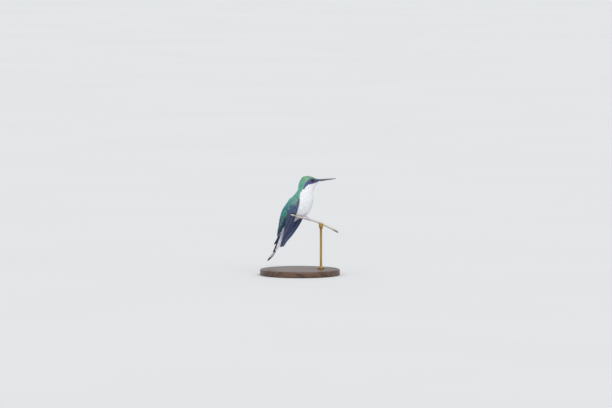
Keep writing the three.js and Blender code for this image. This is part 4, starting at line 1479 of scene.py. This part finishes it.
def build_bird():
    gloss = plumage("plumage_gloss", barbs=16, rough=0.7, rough_gloss=0.4, shaft=0.9)
    soft = plumage("plumage_soft", barbs=12, rough=0.85, rough_gloss=0.6, shaft=1.03, downy=0.3)
    flight = plumage("flight_feathers", barbs=90, rough=0.6, rough_gloss=0.38, shaft=0.7)
    grips = {word: Grip(leg[0]) for word, leg in LEGS.items()}
    skin = build_skin(grips, bare_skin())
    finish_piece(skin, "plumage", "head", "neck", "trunk", "leg_right", "leg_left")
    eyes = {word: Eye("eye_" + word) for word in ("right", "left")}
    wet, lid = eye_surface(), lid_skin()
    for word, eye in eyes.items():
        finish_piece(eyeball(eye, "eyeball_" + word, wet), "eye", "eye_" + word)
        finish_piece(eyelids(eye, "eyelids_" + word, lid), "plumage")
    black = horn("bill_horn", (22, 21, 33), (60, 60, 84), 0.28)
    finish_piece(mandible("bill_upper_horn", 1, BILL_LENGTH, 0.55, black), "bill", "bill_upper")
    finish_piece(mandible("bill_lower_horn", -1, BILL_LENGTH * 0.985, 0.4, black), "bill", "bill_lower")
    for coat in body_coat(tuple(eyes.values()), gloss, soft):
        finish_piece(coat, "plumage")
    finish_piece(thigh_tufts(soft), "plumage")
    for side, word in ((-1, "right"), (1, "left")):
        flight_piece, covert_piece = wing(side, word, flight, gloss)
        finish_piece(flight_piece, "flight_feather", "wing_" + word)
        finish_piece(covert_piece, "plumage")
    finish_piece(tail(flight), "flight_feather", "tail")
    claw = horn("claw_horn", (44, 40, 50), (96, 88, 104), 0.35)
    for word, grip in grips.items():
        finish_piece(claws(word, grip, claw), "foot_skin")


def build_stand():
    finish_piece(twig(bark()), "twig_bark", "perch")
    base, top = disc(walnut())
    rod, ring = rod_and_ring(top + SEAM, brushed_brass())
    finish_piece(base, "stand_wood", "stand_base")
    finish_piece(rod, "stand_brass", "stand_rod")
    finish_piece(ring, "stand_brass", "stand_collar")


FLOOR_REACH = 60.0  # metres
SKY = (0.93, 0.96, 1.0, 1)
SKY_STRENGTH = 0.85
# name, strength, how wide its disc is, and how far it is tipped and turned, in degrees
LAMPS = (("key", 1.6, 50, 48, 28), ("fill", 0.6, 80, 60, -60), ("catch", 0.4, 4, 52, 16))


def build_studio():
    """Pale floor, soft daylight from all round with a broad key from the front and left above."""
    far = FLOOR_REACH
    mesh = bpy.data.meshes.new("floor")
    mesh.from_pydata([(-far, -far, 0), (far, -far, 0), (far, far, 0), (-far, far, 0)], [], [(0, 1, 2, 3)])
    mesh.materials.append(studio_floor())
    floor = bpy.data.objects.new("floor", mesh)
    bpy.context.scene.collection.objects.link(floor)
    world = bpy.data.worlds.new("studio")
    world.use_nodes = True
    background = world.node_tree.nodes["Background"].inputs
    background["Color"].default_value = SKY
    background["Strength"].default_value = SKY_STRENGTH
    bpy.context.scene.world = world
    for name, strength, spread, tip, turn in LAMPS:
        light = bpy.data.lights.new(name, "SUN")
        light.energy = strength
        light.angle = math.radians(spread)
        lamp = bpy.data.objects.new(name, light)
        lamp.rotation_euler = (math.radians(tip), 0, math.radians(turn))
        bpy.context.scene.collection.objects.link(lamp)


def build_camera():
    """A long lens a little above the bird's eye, looking along +Y and slightly down."""
    target = np.array((6.0, 0.0, 71.2)) * MM
    distance, elevation = 5.1, math.radians(4)
    data = bpy.data.cameras.new("camera")
    data.lens = 300
    data.sensor_width = 36
    data.clip_end = 300
    camera = bpy.data.objects.new("camera", data)
    camera.location = target + distance * np.array((0, -math.cos(elevation), math.sin(elevation)))
    camera.rotation_euler = (math.pi / 2 - elevation, 0, 0)
    bpy.context.scene.collection.objects.link(camera)
    bpy.context.scene.camera = camera
    bpy.context.scene.view_settings.view_transform = "Standard"


build_bird()
build_stand()
build_studio()
build_camera()
bpy.context.view_layer.update()
